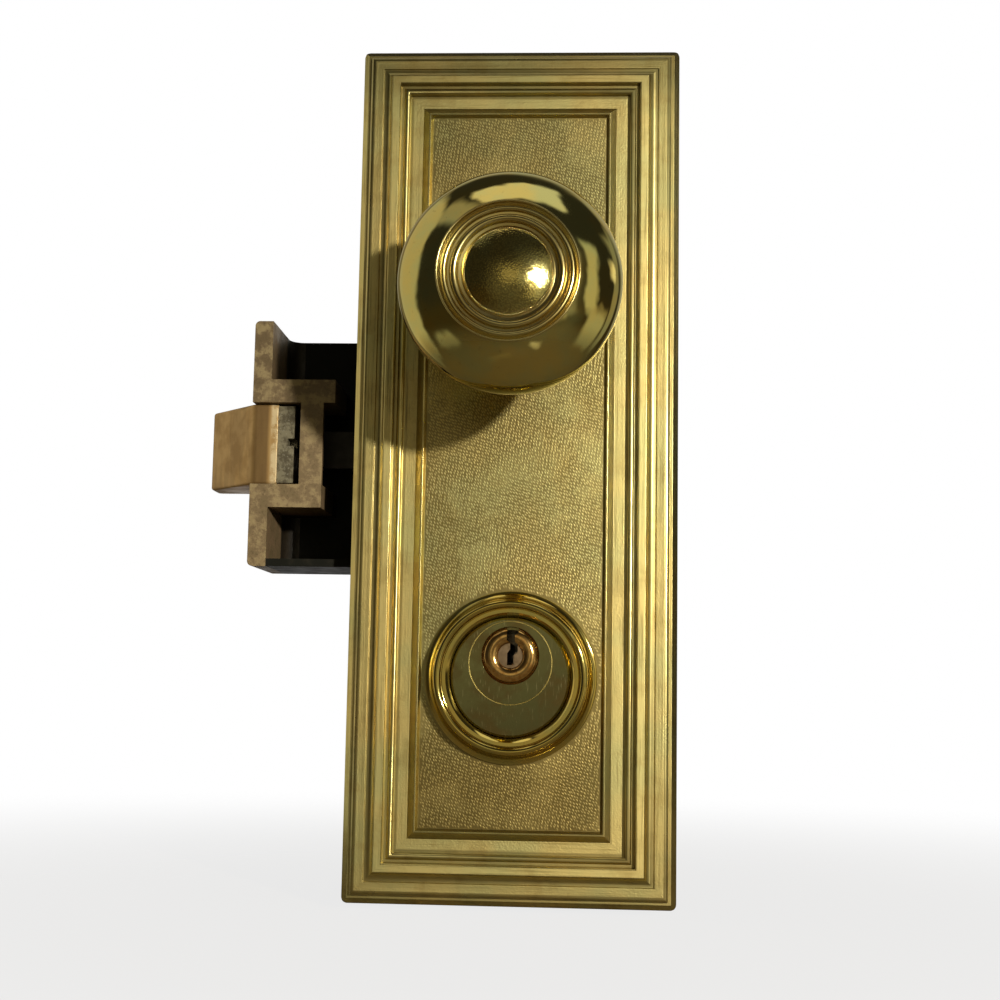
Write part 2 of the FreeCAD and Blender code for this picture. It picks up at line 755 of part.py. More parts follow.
def pan_screw(x, z, tip_y, head_y):
    # Its head is bevelled and slotted, on the far side; the shank runs back to tip_y.
    steps = [(0, tip_y), (screw_r - 0.4, tip_y), (screw_r, tip_y + 0.4), (screw_r, head_y),
             (screw_head_r, head_y), (screw_head_r, head_y + screw_head_t - screw_bevel),
             (screw_head_r - screw_bevel, head_y + screw_head_t), (0, head_y + screw_head_t)]
    slot = box(x - screw_head_r, x + screw_head_r, head_y + screw_head_t - slot_depth,
               head_y + screw_head_t + 1, z - slot_w / 2, z + slot_w / 2)
    return turned(steps, x, z).cut(slot)


def case_screws():
    return at_posts(lambda x, z: pan_screw(x, z, plate_skin - field_h + end_play, case_far_y))


def front_screw_places():
    # Two in the upper arm, one in the middle of the shorter lower arm.
    upper_z = bolt_high_z + guide_gap + arm_t / 2
    lower_z = bolt_low_z - guide_gap - arm_t / 2
    return [(front_back_x + front_screw_in, upper_z), (arm_end_x - front_screw_in, upper_z),
            ((front_back_x + bar_right_x) / 2, lower_z)]


def front_screws():
    return Part.makeCompound([
        pan_screw(x, z, far_in_y - front_screw_l, case_far_y) for x, z in front_screw_places()])


def front():
    # Bronze casting: the front in the door's edge, two arms and a cross bar that guide the bolt.
    face = box(front_x, front_back_x, case_near_y, case_far_y, front_low_z, front_high_z)
    low = bolt_low_z - guide_gap
    high = bolt_high_z + guide_gap
    arms = [box(front_x, arm_end_x, case_near_y, far_in_y, high, high + arm_t),
            box(front_x, bar_right_x, case_near_y, far_in_y, low - arm_t, low),
            box(bar_left_x, bar_right_x, case_near_y, case_near_y + bar_t, low - 1, high + 1)]
    corner = (front_back_x, far_in_y)
    foot = [(corner[0] - 1, corner[1]), (corner[0] - 1, corner[1] - front_fillet),
            (corner[0], corner[1] - front_fillet),
            ((corner[0] + front_fillet * (1 - sqrt(0.5)), corner[1] - front_fillet * (1 - sqrt(0.5))),
             (corner[0] + front_fillet, corner[1]))]
    web = Part.Face(wire(foot, lambda x, y: V(x, y, front_low_z + case_wall)))
    web = web.extrude(V(0, 0, front_high_z - front_low_z - case_wall))
    body = fuse(face, *arms, web)
    window = box(front_x - 1, bar_left_x, case_near_y - 1, bolt_near_y, low, high)
    way = box(front_x - 1, arm_end_x + 1, case_near_y + bar_t, bolt_far_y + slide_gap, low, high)
    body = body.cut([window, way])
    for x, z in front_screw_places():
        body = body.cut(rod_y(x, z, screw_r + snug, far_in_y - front_screw_l - end_play, far_in_y + 1))

    # The outline of the face is rounded, apart from its near edge beside the housing.
    rim = []
    for edge in body.Edges:
        ends = [v.Point for v in edge.Vertexes]
        on_face = all(abs(p.x - front_x) < 1e-6 for p in ends)
        far = all(p.y > case_far_y - 0.1 for p in ends)
        above = all(p.z > high + arm_t - 0.1 for p in ends)
        below = all(p.z < low - arm_t + 0.1 for p in ends)
        if len(ends) == 2 and on_face and (far or above or below):
            rim.append(edge)
    return body.makeFillet(front_edge_r, rim)


def upright(shape, x, y):
    # The edges of a shape that stand at (x, y).
    return [e for e in shape.Edges
            if all(abs(v.X - x) < 1e-6 and abs(v.Y - y) < 1e-6 for v in e.Vertexes)]


def latch_bolt():
    # Bevelled bronze head; its back is pocketed for the tail's tang.
    tip_x = front_x - bolt_throw
    flat = [(bolt_back_x, bolt_near_y), (front_x, bolt_near_y), (tip_x, bolt_tip_y),
            (tip_x, bolt_far_y), (bolt_back_x, bolt_far_y)]
    outline = Part.makePolygon([V(x, y, bolt_low_z) for x, y in flat + flat[:1]])
    body = Part.Face(outline).extrude(V(0, 0, bolt_h))
    for (x, y), r in zip(flat[1:4], (bolt_root_r, bolt_tip_r, bolt_heel_r)):
        body = body.makeFillet(r, upright(body, x, y))
    rim = [e for e in body.Edges if abs(e.Vertexes[0].Z - e.Vertexes[-1].Z) < 1e-6
           and any(abs(v.X - bolt_back_x) > 1e-6 for v in e.Vertexes)]
    body = body.makeFillet(bolt_edge_r, rim)
    body = body.cut(box(bolt_back_x - tang_l, bolt_back_x + 1, tail_y - snug, tail_far_y + snug,
                        bolt_z - tail_h / 2 - snug, bolt_z + tail_h / 2 + snug))
    for z in bolt_pin_z:
        body = body.cut(rod_y(bolt_pin_x, z, bolt_pin_r + snug, tail_y - bolt_pin_grip, bolt_far_y + 1))
    return body


def bolt_pins():
    return Part.makeCompound([
        rod_y(bolt_pin_x, z, bolt_pin_r, tail_y - bolt_pin_grip + end_play, bolt_far_y - end_play)
        for z in bolt_pin_z])


def latch_tail():
    # Steel: a block behind the head, notched at its back, and a flat tail with a lug.
    low = bolt_z - tail_h / 2
    high = bolt_z + tail_h / 2
    block = box(bolt_back_x + face_gap, block_back_x, bolt_near_y + block_inset,
                bolt_far_y - block_inset, bolt_low_z + block_inset, bolt_high_z - block_inset)
    notch = box(block_back_x - notch_depth, block_back_x + 1, bolt_near_y, bolt_near_y + notch_l,
                notch_z - notch_w / 2, notch_z + notch_w / 2)
    tail = box(bolt_back_x - tang_l + end_play, lug_x + lug_w, tail_y, tail_far_y, low, high)
    lug = box(lug_x, lug_x + lug_w, tail_y, tail_far_y, low, lug_top_z)
    body = fuse(block.cut(notch), tail, lug)
    pins = [rod_y(bolt_pin_x, z, bolt_pin_r + snug, tail_y - 1, tail_far_y + 1) for z in bolt_pin_z]
    pins.append(rod_y(spring_pin_x, bolt_z, spring_pin_r + snug, tail_y - 1, tail_far_y + 1))
    return body.cut(pins)


def spring_pin():
    return rod_y(spring_pin_x, bolt_z, spring_pin_r, spring_axis_y - spring_pin_half,
                 spring_axis_y + spring_pin_half)


def tail_slot(gap, x0, x1):
    return box(x0, x1, tail_y - gap, tail_far_y + gap,
               bolt_z - tail_h / 2 - gap, bolt_z + tail_h / 2 + gap)


def spring_washer():
    disc = Part.makeCylinder(washer_r, washer_t,
                             V(spring_start_x - washer_t, spring_axis_y, bolt_z), V(1, 0, 0))
    return disc.cut(tail_slot(snug, spring_start_x - washer_t - 1, spring_start_x + 1))


def latch_spring():
    # A coil of quarter-turn arcs, each as long a part of the pitch as of the turn.
    start_x = spring_start_x + spring_wire / 2 + face_gap
    run = spring_end_x - spring_wire / 2 - face_gap - start_x

    def at(turn):
        a = radians(360 * turn)
        return V(start_x + run * turn / spring_turns, spring_axis_y + spring_r * cos(a),
                 bolt_z + spring_r * sin(a))

    arcs = []
    for i in range(4 * spring_turns):
        arcs.append(Part.Arc(at(i / 4), at((i + 0.5) / 4), at((i + 1) / 4)).toShape())
    ring = Part.Wire(Part.makeCircle(spring_wire / 2, at(0), arcs[0].tangentAt(0)))
    sweep = Part.BRepOffsetAPI.MakePipeShell(Part.Wire(arcs))
    sweep.setFrenetMode(True)
    sweep.add(ring)
    sweep.build()
    sweep.makeSolid()
    return sweep.shape()


def spring_bracket():
    low = bolt_z - bracket_half
    high = bolt_z + bracket_half
    wall = box(spring_end_x, spring_end_x + bracket_t, cover_in_y + slide_gap, far_in_y, low, high)
    foot = box(spring_end_x, spring_end_x + bracket_foot, far_in_y - bracket_t, far_in_y, low, high)
    body = fuse(wall, foot).cut(tail_slot(tail_way, spring_end_x - 1, spring_end_x + bracket_t + 1))
    for z in bracket_rivet_z:
        body = body.cut(rod_y(bracket_rivet_x, z, rivet_r + snug, far_in_y - bracket_t - 1, far_in_y + 1))
    return body


def bracket_rivets():
    foot_y = far_in_y - bracket_t
    rivets = []
    for z in bracket_rivet_z:
        rivets.append(fuse(rod_y(bracket_rivet_x, z, rivet_r, foot_y, case_far_y),
                           rod_y(bracket_rivet_x, z, rivet_head_r, foot_y - rivet_head_t, foot_y),
                           rod_y(bracket_rivet_x, z, rivet_head_r, case_far_y,
                                 case_far_y + rivet_head_t)))
    return Part.makeCompound(rivets)


def key_lever():
    # Flat lever: its fork takes the cam's toe, its upper end stands behind the tail's lug.
    y0 = lever_y
    y1 = lever_y + lever_t
    near = lever_reach - cam_arm - cam_tip_r - tip_clear
    far = hypot(cam_arm * sin(half_key), lever_reach - cam_arm * cos(half_key)) - tine_short
    outer = fork_slot + fork_tine
    fork = plate_y([(-outer, -far), (-outer, -near + 3), (-stud_shoulder_r, 0), (stud_shoulder_r, 0),
                    (outer, -near + 3), (outer, -far)], y0, y1)
    slot = fuse(box(-fork_slot, fork_slot, y0 - 1, y1 + 1, -far - 5, -near - fork_slot),
                rod_y(0, -near - fork_slot, fork_slot, y0 - 1, y1 + 1))
    fork = fork.cut(slot)
    swing = lever_half_deg - centre_line
    fork.rotate(V(0, 0, 0), V(0, 1, 0), -swing)
    tip_x = -lever_arm * sin(lever_half)
    tip_z = lever_arm * cos(lever_half)
    lever = fuse(fork, rod_y(0, 0, lever_hub_r, y0, y1),
                 link(0, 0, stud_shoulder_r, tip_x, tip_z, lever_tip_r, y0, y1))
    lever.translate(V(lever_x, 0, lever_z))
    return lever.cut(rod_y(lever_x, lever_z, stud_r + turn_gap, y0 - 1, y1 + 1))


def lever_stud():
    shoulder_y = lever_y + lever_t + 2 * end_play
    return fuse(rod_y(lever_x, lever_z, stud_r, lever_y - face_gap, case_far_y + stud_upset),
                rod_y(lever_x, lever_z, stud_shoulder_r, shoulder_y, far_in_y))


def mounting_posts():
    posts = []
    for z in (mount_z, -mount_z):
        post = fuse(rod_y(0, z, mount_post_r, 0, mount_post_l),
                    rod_y(0, z, post_stud_r, -stud_into_plate, 0))
        posts.append(post.cut(rod_y(0, z, mount_bore_r, mount_post_l - mount_bore_l, mount_post_l + 1)))
    return Part.makeCompound(posts)


pieces = {
    "escutcheon": escutcheon,
    "knob": knob,
    "knob_shank": knob_shank,
    "knob_set_screw": knob_set_screw,
    "knob_bush": knob_bush,
    "bush_nut": bush_nut,
    "shank_ring": shank_ring,
    "spindle": spindle,
    "hub": hub,
    "cylinder_collar": collar,
    "cylinder_shell": cylinder_shell,
    "cylinder_plug": cylinder_plug,
    "key_pins": key_pins,
    "driver_pins": driver_pins,
    "chamber_caps": chamber_caps,
    "cylinder_cam": cylinder_cam,
    "cam_screws": cam_screws,
    "cylinder_ring": cylinder_ring,
    "cylinder_set_screw": cylinder_set_screw,
    "case": case,
    "case_cover": case_cover,
    "case_posts": case_posts,
    "plate_spacers": plate_spacers,
    "case_screws": case_screws,
    "front": front,
    "front_screws": front_screws,
    "latch_bolt": latch_bolt,
    "bolt_pins": bolt_pins,
    "latch_tail": latch_tail,
    "spring_pin": spring_pin,
    "spring_washer": spring_washer,
    "latch_spring": latch_spring,
    "spring_bracket": spring_bracket,
    "bracket_rivets": bracket_rivets,
    "key_lever": key_lever,
    "lever_stud": lever_stud,
    "mounting_posts": mounting_posts,
}

os.makedirs("parts", exist_ok=True)
for name, make in pieces.items():
    shape = make()
    if len(shape.Solids) == 1:
        shape = shape.Solids[0]
    print(name, shape.ShapeType, len(shape.Solids), shape.isValid(), round(shape.Volume, 1))
    shape.exportStep(os.path.join("parts", name + ".step"))
print("lever ratio", round(-lever_half_deg * 2 / key_turn, 5))
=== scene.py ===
import bmesh
import bpy
from math import asin, atan2, cos, degrees, pi, radians, sin, sqrt, tan
from mathutils import Matrix, Vector


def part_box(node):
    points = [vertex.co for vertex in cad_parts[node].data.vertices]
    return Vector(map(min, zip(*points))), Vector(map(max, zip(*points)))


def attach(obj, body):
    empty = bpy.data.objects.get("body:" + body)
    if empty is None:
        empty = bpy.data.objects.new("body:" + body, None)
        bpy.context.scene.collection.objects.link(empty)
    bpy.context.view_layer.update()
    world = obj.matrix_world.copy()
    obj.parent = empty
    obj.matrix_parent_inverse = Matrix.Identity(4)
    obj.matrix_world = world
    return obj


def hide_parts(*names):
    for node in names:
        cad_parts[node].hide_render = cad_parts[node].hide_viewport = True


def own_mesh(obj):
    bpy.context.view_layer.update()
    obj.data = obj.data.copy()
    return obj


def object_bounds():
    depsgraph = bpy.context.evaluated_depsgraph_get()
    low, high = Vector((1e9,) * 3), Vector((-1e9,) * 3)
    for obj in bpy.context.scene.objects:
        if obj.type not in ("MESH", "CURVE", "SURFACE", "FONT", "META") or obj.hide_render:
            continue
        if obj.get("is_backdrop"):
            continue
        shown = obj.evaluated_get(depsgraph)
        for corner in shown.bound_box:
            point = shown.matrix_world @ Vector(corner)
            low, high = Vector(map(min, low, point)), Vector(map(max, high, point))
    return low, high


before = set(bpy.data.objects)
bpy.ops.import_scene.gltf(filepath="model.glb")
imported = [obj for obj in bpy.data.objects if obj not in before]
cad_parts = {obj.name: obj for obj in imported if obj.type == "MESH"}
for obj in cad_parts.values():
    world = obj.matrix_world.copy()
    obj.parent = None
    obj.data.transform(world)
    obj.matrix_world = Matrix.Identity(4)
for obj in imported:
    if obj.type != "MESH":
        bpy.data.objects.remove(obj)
cad_low, cad_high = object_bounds()
mm = 0.001


# Room
# A pale floor and background. One hard lamp at the right lights the lockset, and the polished brass
# mirrors a dim room with soft windows on every side and overhead.
def add_any(tree, kind, inputs=None, **settings):
    # Adds a node. Each input gets a value, or a link if it is given another node's socket.
    made = tree.nodes.new(kind)
    for setting, value in settings.items():
        setattr(made, setting, value)
    for key, value in (inputs or {}).items():
        if isinstance(value, bpy.types.NodeSocket):
            tree.links.new(value, made.inputs[key])
        else:
            made.inputs[key].default_value = value
    return made


def add_node(tree, kind, inputs=None, **settings):
    return add_any(tree, "ShaderNode" + kind, inputs, **settings)


def maths(tree, operation, a, b=0.0):
    return add_node(tree, "Math", {0: a, 1: b}, operation=operation).outputs[0]


def fade(tree, value, start, end, low=0.0, high=1.0):
    # A smooth step from low to high as the value goes from start to end.
    made = add_node(tree, "MapRange", {"Value": value, "From Min": start, "From Max": end,
                                       "To Min": low, "To Max": high}, interpolation_type="SMOOTHSTEP")
    return made.outputs[0]


def mix_colours(tree, factor, a, b):
    return add_node(tree, "Mix", {0: factor, 6: a, 7: b}, data_type="RGBA").outputs[2]


def shade(red, green, blue):
    # A colour as it is seen, 0 to 255, in the renderer's linear light.
    return tuple((c / 255) ** 2.2 for c in (red, green, blue)) + (1.0,)


scene = bpy.context.scene
scene.view_settings.view_transform = "Standard"

world = bpy.data.worlds.new("studio")
world.use_nodes = True
scene.world = world
sky = world.node_tree
sky.nodes.clear()
heading = add_node(sky, "TexCoord").outputs["Generated"]
ahead = add_node(sky, "SeparateXYZ", {0: heading}).outputs["Y"]
# The room's outlines waver a little, as they do in spun and hand-polished brass.
sway = add_node(sky, "TexNoise", {"Vector": heading, "Scale": 3.2, "Detail": 2.0}).outputs["Color"]
sway = add_node(sky, "VectorMath", {0: sway, 1: (0.5, 0.5, 0.5)}, operation="SUBTRACT").outputs[0]
sway = add_node(sky, "VectorMath", {0: sway, "Scale": 0.28}, operation="SCALE").outputs[0]
heading = add_node(sky, "VectorMath", {0: heading, 1: sway}, operation="ADD").outputs[0]
up = add_node(sky, "SeparateXYZ", {0: heading}).outputs["Z"]
ground_tone, wall_tone = (0.054, 0.038, 0.016, 1), (0.034, 0.032, 0.024, 1)
room_tone = mix_colours(sky, fade(sky, up, -0.25, 0.05), ground_tone, wall_tone)


def window(tone, turn, rise, half_w, half_h, colour, soft):
    # A soft-edged light in the room's tone: turn is degrees right of the camera's side, rise is upwards.
    side = Vector((cos(radians(turn)), sin(radians(turn)), 0))
    aim = Matrix.Rotation(-radians(rise), 3, side) @ Vector((sin(radians(turn)), -cos(radians(turn)), 0))
    depth = add_node(sky, "VectorMath", {0: heading, 1: aim}, operation="DOT_PRODUCT").outputs["Value"]
    seen = fade(sky, depth, 0.02, 0.06)
    for line, half in ((side, half_w), (aim.cross(side), half_h)):
        along = add_node(sky, "VectorMath", {0: heading, 1: line}, operation="DOT_PRODUCT").outputs["Value"]
        slope = maths(sky, "DIVIDE", maths(sky, "ABSOLUTE", along), depth)
        inside = fade(sky, slope, tan(radians(half + soft)), tan(radians(max(half - soft, 0.1))))
        seen = maths(sky, "MULTIPLY", seen, inside)
    return mix_colours(sky, seen, tone, colour)


# Turn, rise, half width, half height, colour and softness of each window, angles in degrees.
windows = [
    (30, -2, 24, 34, (0.120, 0.110, 0.072), 10), (2, 0, 24, 20, (0.130, 0.121, 0.083), 12),
    (3, 9, 12, 9, (0.46, 0.42, 0.28), 3), (31, -4, 10, 13, (0.50, 0.46, 0.31), 3),
    (24, -39, 3, 3, (1.60, 1.50, 1.20), 2), (2, -50, 9, 6, (0.15, 0.09, 0.05), 3),
    (-16, -54, 7, 3, (0.36, 0.32, 0.20), 2), (42, 8, 6, 20, (0.34, 0.33, 0.25), 4),
    (-103, 8, 24, 48, (0.60, 0.56, 0.42), 3), (-146, 0, 18, 40, (0.22, 0.19, 0.12), 5),
    (170, 30, 34, 34, (0.50, 0.47, 0.38), 12), (-62, -32, 9, 6, (0.50, 0.46, 0.32), 3),
    (-62, 54, 12, 8, (0.40, 0.38, 0.30), 4), (14, 80, 22, 12, (0.92, 0.88, 0.72), 2),
    (65, 12, 7, 23, (0.60, 0.60, 0.45), 3), (78, -22, 12, 14, (0.55, 0.50, 0.34), 4),
    (108, 4, 12, 34, (0.36, 0.34, 0.25), 4), (94, 17, 7, 5, (1.20, 1.15, 0.95), 3)]
for turn, rise, half_w, half_h, colour, soft in windows:
    room_tone = window(room_tone, turn, rise, half_w, half_h, (*colour, 1), soft)
path = add_node(sky, "LightPath").outputs
behind = maths(sky, "MULTIPLY", maths(sky, "MAXIMUM", path["Is Glossy Ray"], path["Is Transmission Ray"]),
               fade(sky, ahead, 0.92, 0.985))
seen = maths(sky, "MAXIMUM", path["Is Camera Ray"], behind)
tone = mix_colours(sky, seen, room_tone, (1, 1, 1, 1))
light = add_node(sky, "Background", {"Color": tone, "Strength": 1.0})
sky.links.new(light.outputs[0], add_node(sky, "OutputWorld").inputs[0])

floor_size, floor_gap = 0.5, 2 * mm
corners = ((-1, -1), (1, -1), (1, 1), (-1, 1))
mesh = bpy.data.meshes.new("floor")
mesh.from_pydata([(x * floor_size, y * floor_size, cad_low.z - floor_gap) for x, y in corners],
                 [], [(0, 1, 2, 3)])
floor = bpy.data.objects.new("floor", mesh)
scene.collection.objects.link(floor)
floor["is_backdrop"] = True
paint = bpy.data.materials.new("pale_floor")
paint.use_nodes = True
tree = paint.node_tree
tree.nodes.clear()
matt = add_node(tree, "BsdfDiffuse", {"Color": (0.22, 0.19, 0.14, 1)})
glow = add_node(tree, "Emission", {"Color": (1, 1, 1, 1), "Strength": 1.0})
away = add_node(tree, "VectorMath", {0: add_node(tree, "TexCoord").outputs["Object"]},
                operation="LENGTH").outputs["Value"]
shown = maths(tree, "MULTIPLY", add_node(tree, "LightPath").outputs["Is Camera Ray"], 0.80)
lit = add_node(tree, "MixShader", {0: shown, 1: matt.outputs[0], 2: glow.outputs[0]})
mixed = add_node(tree, "MixShader", {0: fade(tree, away, 0.12, 0.46), 1: lit.outputs[0],
                                     2: add_node(tree, "BsdfTransparent").outputs[0]})
tree.links.new(mixed.outputs[0], add_node(tree, "OutputMaterial").inputs[0])
mesh.materials.append(paint)


def lamp(name, place, aim, size, power, colour):
    light = bpy.data.lights.new(name, "AREA")
    light.shape = "DISK"
    light.size = size
    light.energy = power
    light.color = colour
    holder = bpy.data.objects.new(name, light)
    holder.location = place
    holder.rotation_euler = (Vector(aim) - Vector(place)).to_track_quat("-Z", "Y").to_euler()
    scene.collection.objects.link(holder)


lamp("key_lamp", (0.52, -0.88, 0.165), (0, 0, 0), 0.05, 12.0, (1.0, 0.96, 0.86))

# The camera stands where the photograph was taken from: near the cylinder's height, a little to the right.
camera = bpy.data.objects.new("camera", bpy.data.cameras.new("camera"))
camera.data.lens = 56.0
camera.data.sensor_width = 36.0
camera.data.clip_start = 0.01
pitch, roll, turn = -0.119343, -0.0501014, 0.0174318
to_camera = Matrix.Rotation(pitch, 3, "X") @ Matrix.Rotation(roll, 3, "Z") @ Matrix.Rotation(turn, 3, "Y")
stand = (to_camera.transposed() @ Matrix.Rotation(pi / 2, 3, "X")).to_4x4()
stand.translation = (16.805 * mm, -392.463 * mm, -55.428 * mm)
camera.matrix_world = stand
scene.collection.objects.link(camera)
scene.camera = camera


# Escutcheon
# A cast brass plate with a mitred, moulded border: its crests are polished, its fascia and inner band
# are left with the casting's grain, and its field is covered with short chased strokes.
def new_material(name):
    made = bpy.data.materials.new(name)
    made.use_nodes = True
    tree = made.node_tree
    tree.nodes.clear()
    place = add_node(tree, "TexCoord").outputs["Object"]
    return made, tree, place


def finish_metal(tree, colour, roughness, normal, metallic=1.0, **sockets):
    shader = add_node(tree, "BsdfPrincipled", {"Base Color": colour, "Roughness": roughness,
                                               "Metallic": metallic, "Normal": normal})
    for name, value in sockets.items():
        shader.inputs[name.replace("_", " ")].default_value = value
    tree.links.new(shader.outputs[0], add_node(tree, "OutputMaterial").inputs[0])


def grain(tree, place, size, detail=3.0, roughness=0.55):
    # Fractal noise whose largest lumps measure about size, in metres.
    made = add_node(tree, "TexNoise", {"Vector": place, "Scale": 1 / size, "Detail": detail,
                                       "Roughness": roughness})
    return made.outputs["Fac"]


def bumps(tree, height, depth, strength=1.0, normal=None):
    inputs = {"Height": height, "Distance": depth, "Strength": strength}
    if normal is not None:
        inputs["Normal"] = normal
    return add_node(tree, "Bump", inputs).outputs[0]


def ramp(tree, value, stops):
    # Stops are (position, colour).
    made = add_node(tree, "ValToRGB", {"Fac": value})
    points = made.color_ramp.elements
    while len(points) < len(stops):
        points.new(0.5)
    for point, (position, colour) in zip(points, stops):
        point.position = position
        point.color = colour
    return made.outputs[0]


def tint(tree, tone, mask, amount, colour):
    # Lays some of a colour over a tone where the mask is white.
    return mix_colours(tree, maths(tree, "MULTIPLY", mask, amount), tone, colour)


def settled(piece):
    # Keeps the mesh that the piece's modifiers make, and removes the modifiers.
    bpy.context.view_layer.update()
    made = bpy.data.meshes.new_from_object(piece.evaluated_get(bpy.context.evaluated_depsgraph_get()))
    piece.modifiers.clear()
    piece.data = made
    return made


def finished_copy(node, body, material, edge, angle=35.0):
    # The node's own form as a clean mesh, its sharp edges eased by a bevel of that width.
    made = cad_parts[node].data.copy()
    made.name = node + "_finished"
    shape = bmesh.new()
    shape.from_mesh(made)
    bmesh.ops.remove_doubles(shape, verts=shape.verts, dist=1e-6)
    bmesh.ops.dissolve_degenerate(shape, edges=shape.edges, dist=1e-6)
    bmesh.ops.dissolve_limit(shape, angle_limit=radians(0.4), verts=shape.verts, edges=shape.edges)
    shape.to_mesh(made)
    shape.free()
    for name in [a.name for a in made.attributes if a.name.startswith("custom_normal")]:
        made.attributes.remove(made.attributes[name])
    made.materials.clear()
    made.materials.append(material)
    made.shade_smooth()
    piece = bpy.data.objects.new(node + "_finished", made)
    scene.collection.objects.link(piece)
    if edge:
        bevel = piece.modifiers.new("eased", "BEVEL")
        bevel.width = edge
        bevel.segments = 2
        bevel.limit_method = "ANGLE"
        bevel.angle_limit = radians(angle)
        bevel.harden_normals = True
        bevel.use_clamp_overlap = True
        settled(piece)
    else:
        made.set_sharp_from_angle(angle=radians(angle))
    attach(piece, body)
    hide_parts(node)
    return piece


brass_warm = shade(210, 188, 120)
brass_green = shade(194, 184, 122)
# The brown and tarnish tones are used for real stains, dirt and tarnish, and also for painted shade.
brass_brown_and_shade = shade(164, 140, 82)
tarnish_and_shade = shade(88, 72, 34)

plate_metal, tree, place = new_material("relieved_brass")
plate_low, plate_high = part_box("escutcheon")
plate_half_w = (plate_high.x - plate_low.x) / 2
plate_half_h = (plate_high.z - plate_low.z) / 2
x, y, z = add_node(tree, "SeparateXYZ", {0: place}).outputs
from_side = maths(tree, "SUBTRACT", plate_half_w, maths(tree, "ABSOLUTE", x))
from_end = maths(tree, "SUBTRACT", plate_half_h, maths(tree, "ABSOLUTE", z))
# One ramp runs from the outline inwards over this width: red is roughness, green is the casting's
# grain and blue is the dirt in the grooves.
ramp_w = 20 * mm
inwards = maths(tree, "MULTIPLY", maths(tree, "MINIMUM", from_side, from_end), 1 / ramp_w)
members = ramp(tree, inwards, [
    (0.00, (0.17, 0.08, 0.05, 1)), (0.06, (0.17, 0.08, 0.00, 1)), (0.075, (0.40, 0.30, 0.30, 1)),
    (0.10, (0.38, 0.30, 0.30, 1)), (0.115, (0.28, 0.10, 0.00, 1)), (0.165, (0.28, 0.15, 0.00, 1)),
    (0.175, (0.42, 0.80, 0.15, 1)), (0.262, (0.42, 0.80, 0.20, 1)), (0.28, (0.38, 0.30, 0.30, 1)),
    (0.38, (0.30, 0.15, 0.05, 1)), (0.405, (0.24, 0.15, 0.00, 1)), (0.42, (0.48, 0.50, 0.00, 1)),
    (0.49, (0.48, 0.50, 0.00, 1)), (0.505, (0.24, 0.15, 0.00, 1)), (0.53, (0.42, 0.30, 0.60, 1)),
    (0.56, (0.36, 0.15, 0.30, 1)), (0.58, (0.28, 0.10, 0.00, 1)), (0.635, (0.28, 0.15, 0.05, 1)),
    (0.665, (0.38, 0.20, 0.50, 1)), (0.685, (0.46, 0.90, 0.10, 1)), (0.80, (0.46, 0.90, 0.15, 1)),
    (0.815, (0.38, 0.30, 0.60, 1)), (0.88, (0.32, 0.25, 0.20, 1)), (0.90, (0.24, 0.08, 0.00, 1)),
    (0.92, (0.26, 0.10, 0.10, 1)), (0.94, (0.38, 0.40, 0.40, 1)), (0.97, (0.37, 0.40, 0.05, 1))])
rough, cast, dirt = add_node(tree, "SeparateColor", {0: members}).outputs
field = fade(tree, inwards, 0.925, 0.95)
field_y = -3.5 * mm

wear = grain(tree, place, 16 * mm, 3.0, 0.6)
worn = fade(tree, wear, 0.46, 0.64)
fine = grain(tree, place, 0.45 * mm, 2.0)
# Polishing streaks run along the mouldings: many to the border's width, few to its length.
along = maths(tree, "DIVIDE", maths(tree, "ADD", x, z), 22 * mm)
strips = add_node(tree, "CombineXYZ", {0: maths(tree, "MULTIPLY", inwards, 46.0), 1: along}).outputs[0]
streaks = add_node(tree, "TexNoise", {"Vector": strips, "Scale": 1.0, "Detail": 4.0,
                                      "Roughness": 0.6}).outputs["Fac"]
border = maths(tree, "SUBTRACT", 1.0, field)
normal = bumps(tree, maths(tree, "MULTIPLY", fine, cast), 0.045 * mm)
normal = bumps(tree, maths(tree, "MULTIPLY", streaks, border), 0.05 * mm, 0.5, normal)
normal = bumps(tree, grain(tree, place, 8 * mm, 1.0), 0.05 * mm, 0.20, normal)
clouds = fade(tree, grain(tree, place, 28 * mm, 4.0, 0.6), 0.38, 0.62)
tone = mix_colours(tree, clouds, brass_warm, brass_green)
blotches = fade(tree, grain(tree, place, 9 * mm, 6.0, 0.7), 0.46, 0.66)
tone = tint(tree, tone, blotches, fade(tree, field, 0, 1, 0.45, 0.35), brass_brown_and_shade)
streaky = maths(tree, "MULTIPLY", fade(tree, streaks, 0.52, 0.66), border)
tone = tint(tree, tone, streaky, 0.45, tarnish_and_shade)
# Painted shade: the field darkens towards its lower end, and the border darkens along its top.
tone = tint(tree, tone, field, fade(tree, z, -50 * mm, -80 * mm, 0.10, 0.75), brass_brown_and_shade)
tone = tint(tree, tone, border, fade(tree, z, 90 * mm, 104 * mm, 0.0, 0.45), tarnish_and_shade)
# Dirt stays in the grooves and low down between the strokes.
hollow = maths(tree, "MULTIPLY", fade(tree, y, field_y - 0.024 * mm, field_y),
               maths(tree, "MULTIPLY", field, fade(tree, worn, 0, 1, 0.62, 0.38)))
dirty = maths(tree, "MAXIMUM", maths(tree, "MULTIPLY", dirt, 0.8), hollow)
tone = mix_colours(tree, dirty, tone, tarnish_and_shade)
rough = maths(tree, "ADD", rough, maths(tree, "MULTIPLY", maths(tree, "SUBTRACT", wear, 0.5), 0.05))
rough = maths(tree, "ADD", rough, maths(tree, "MULTIPLY", streaky, 0.10))
finish_metal(tree, tone, rough, normal, Coat_Weight=0.25, Coat_Roughness=0.22)
finished_copy("escutcheon", "lock", plate_metal, 0.12 * mm)

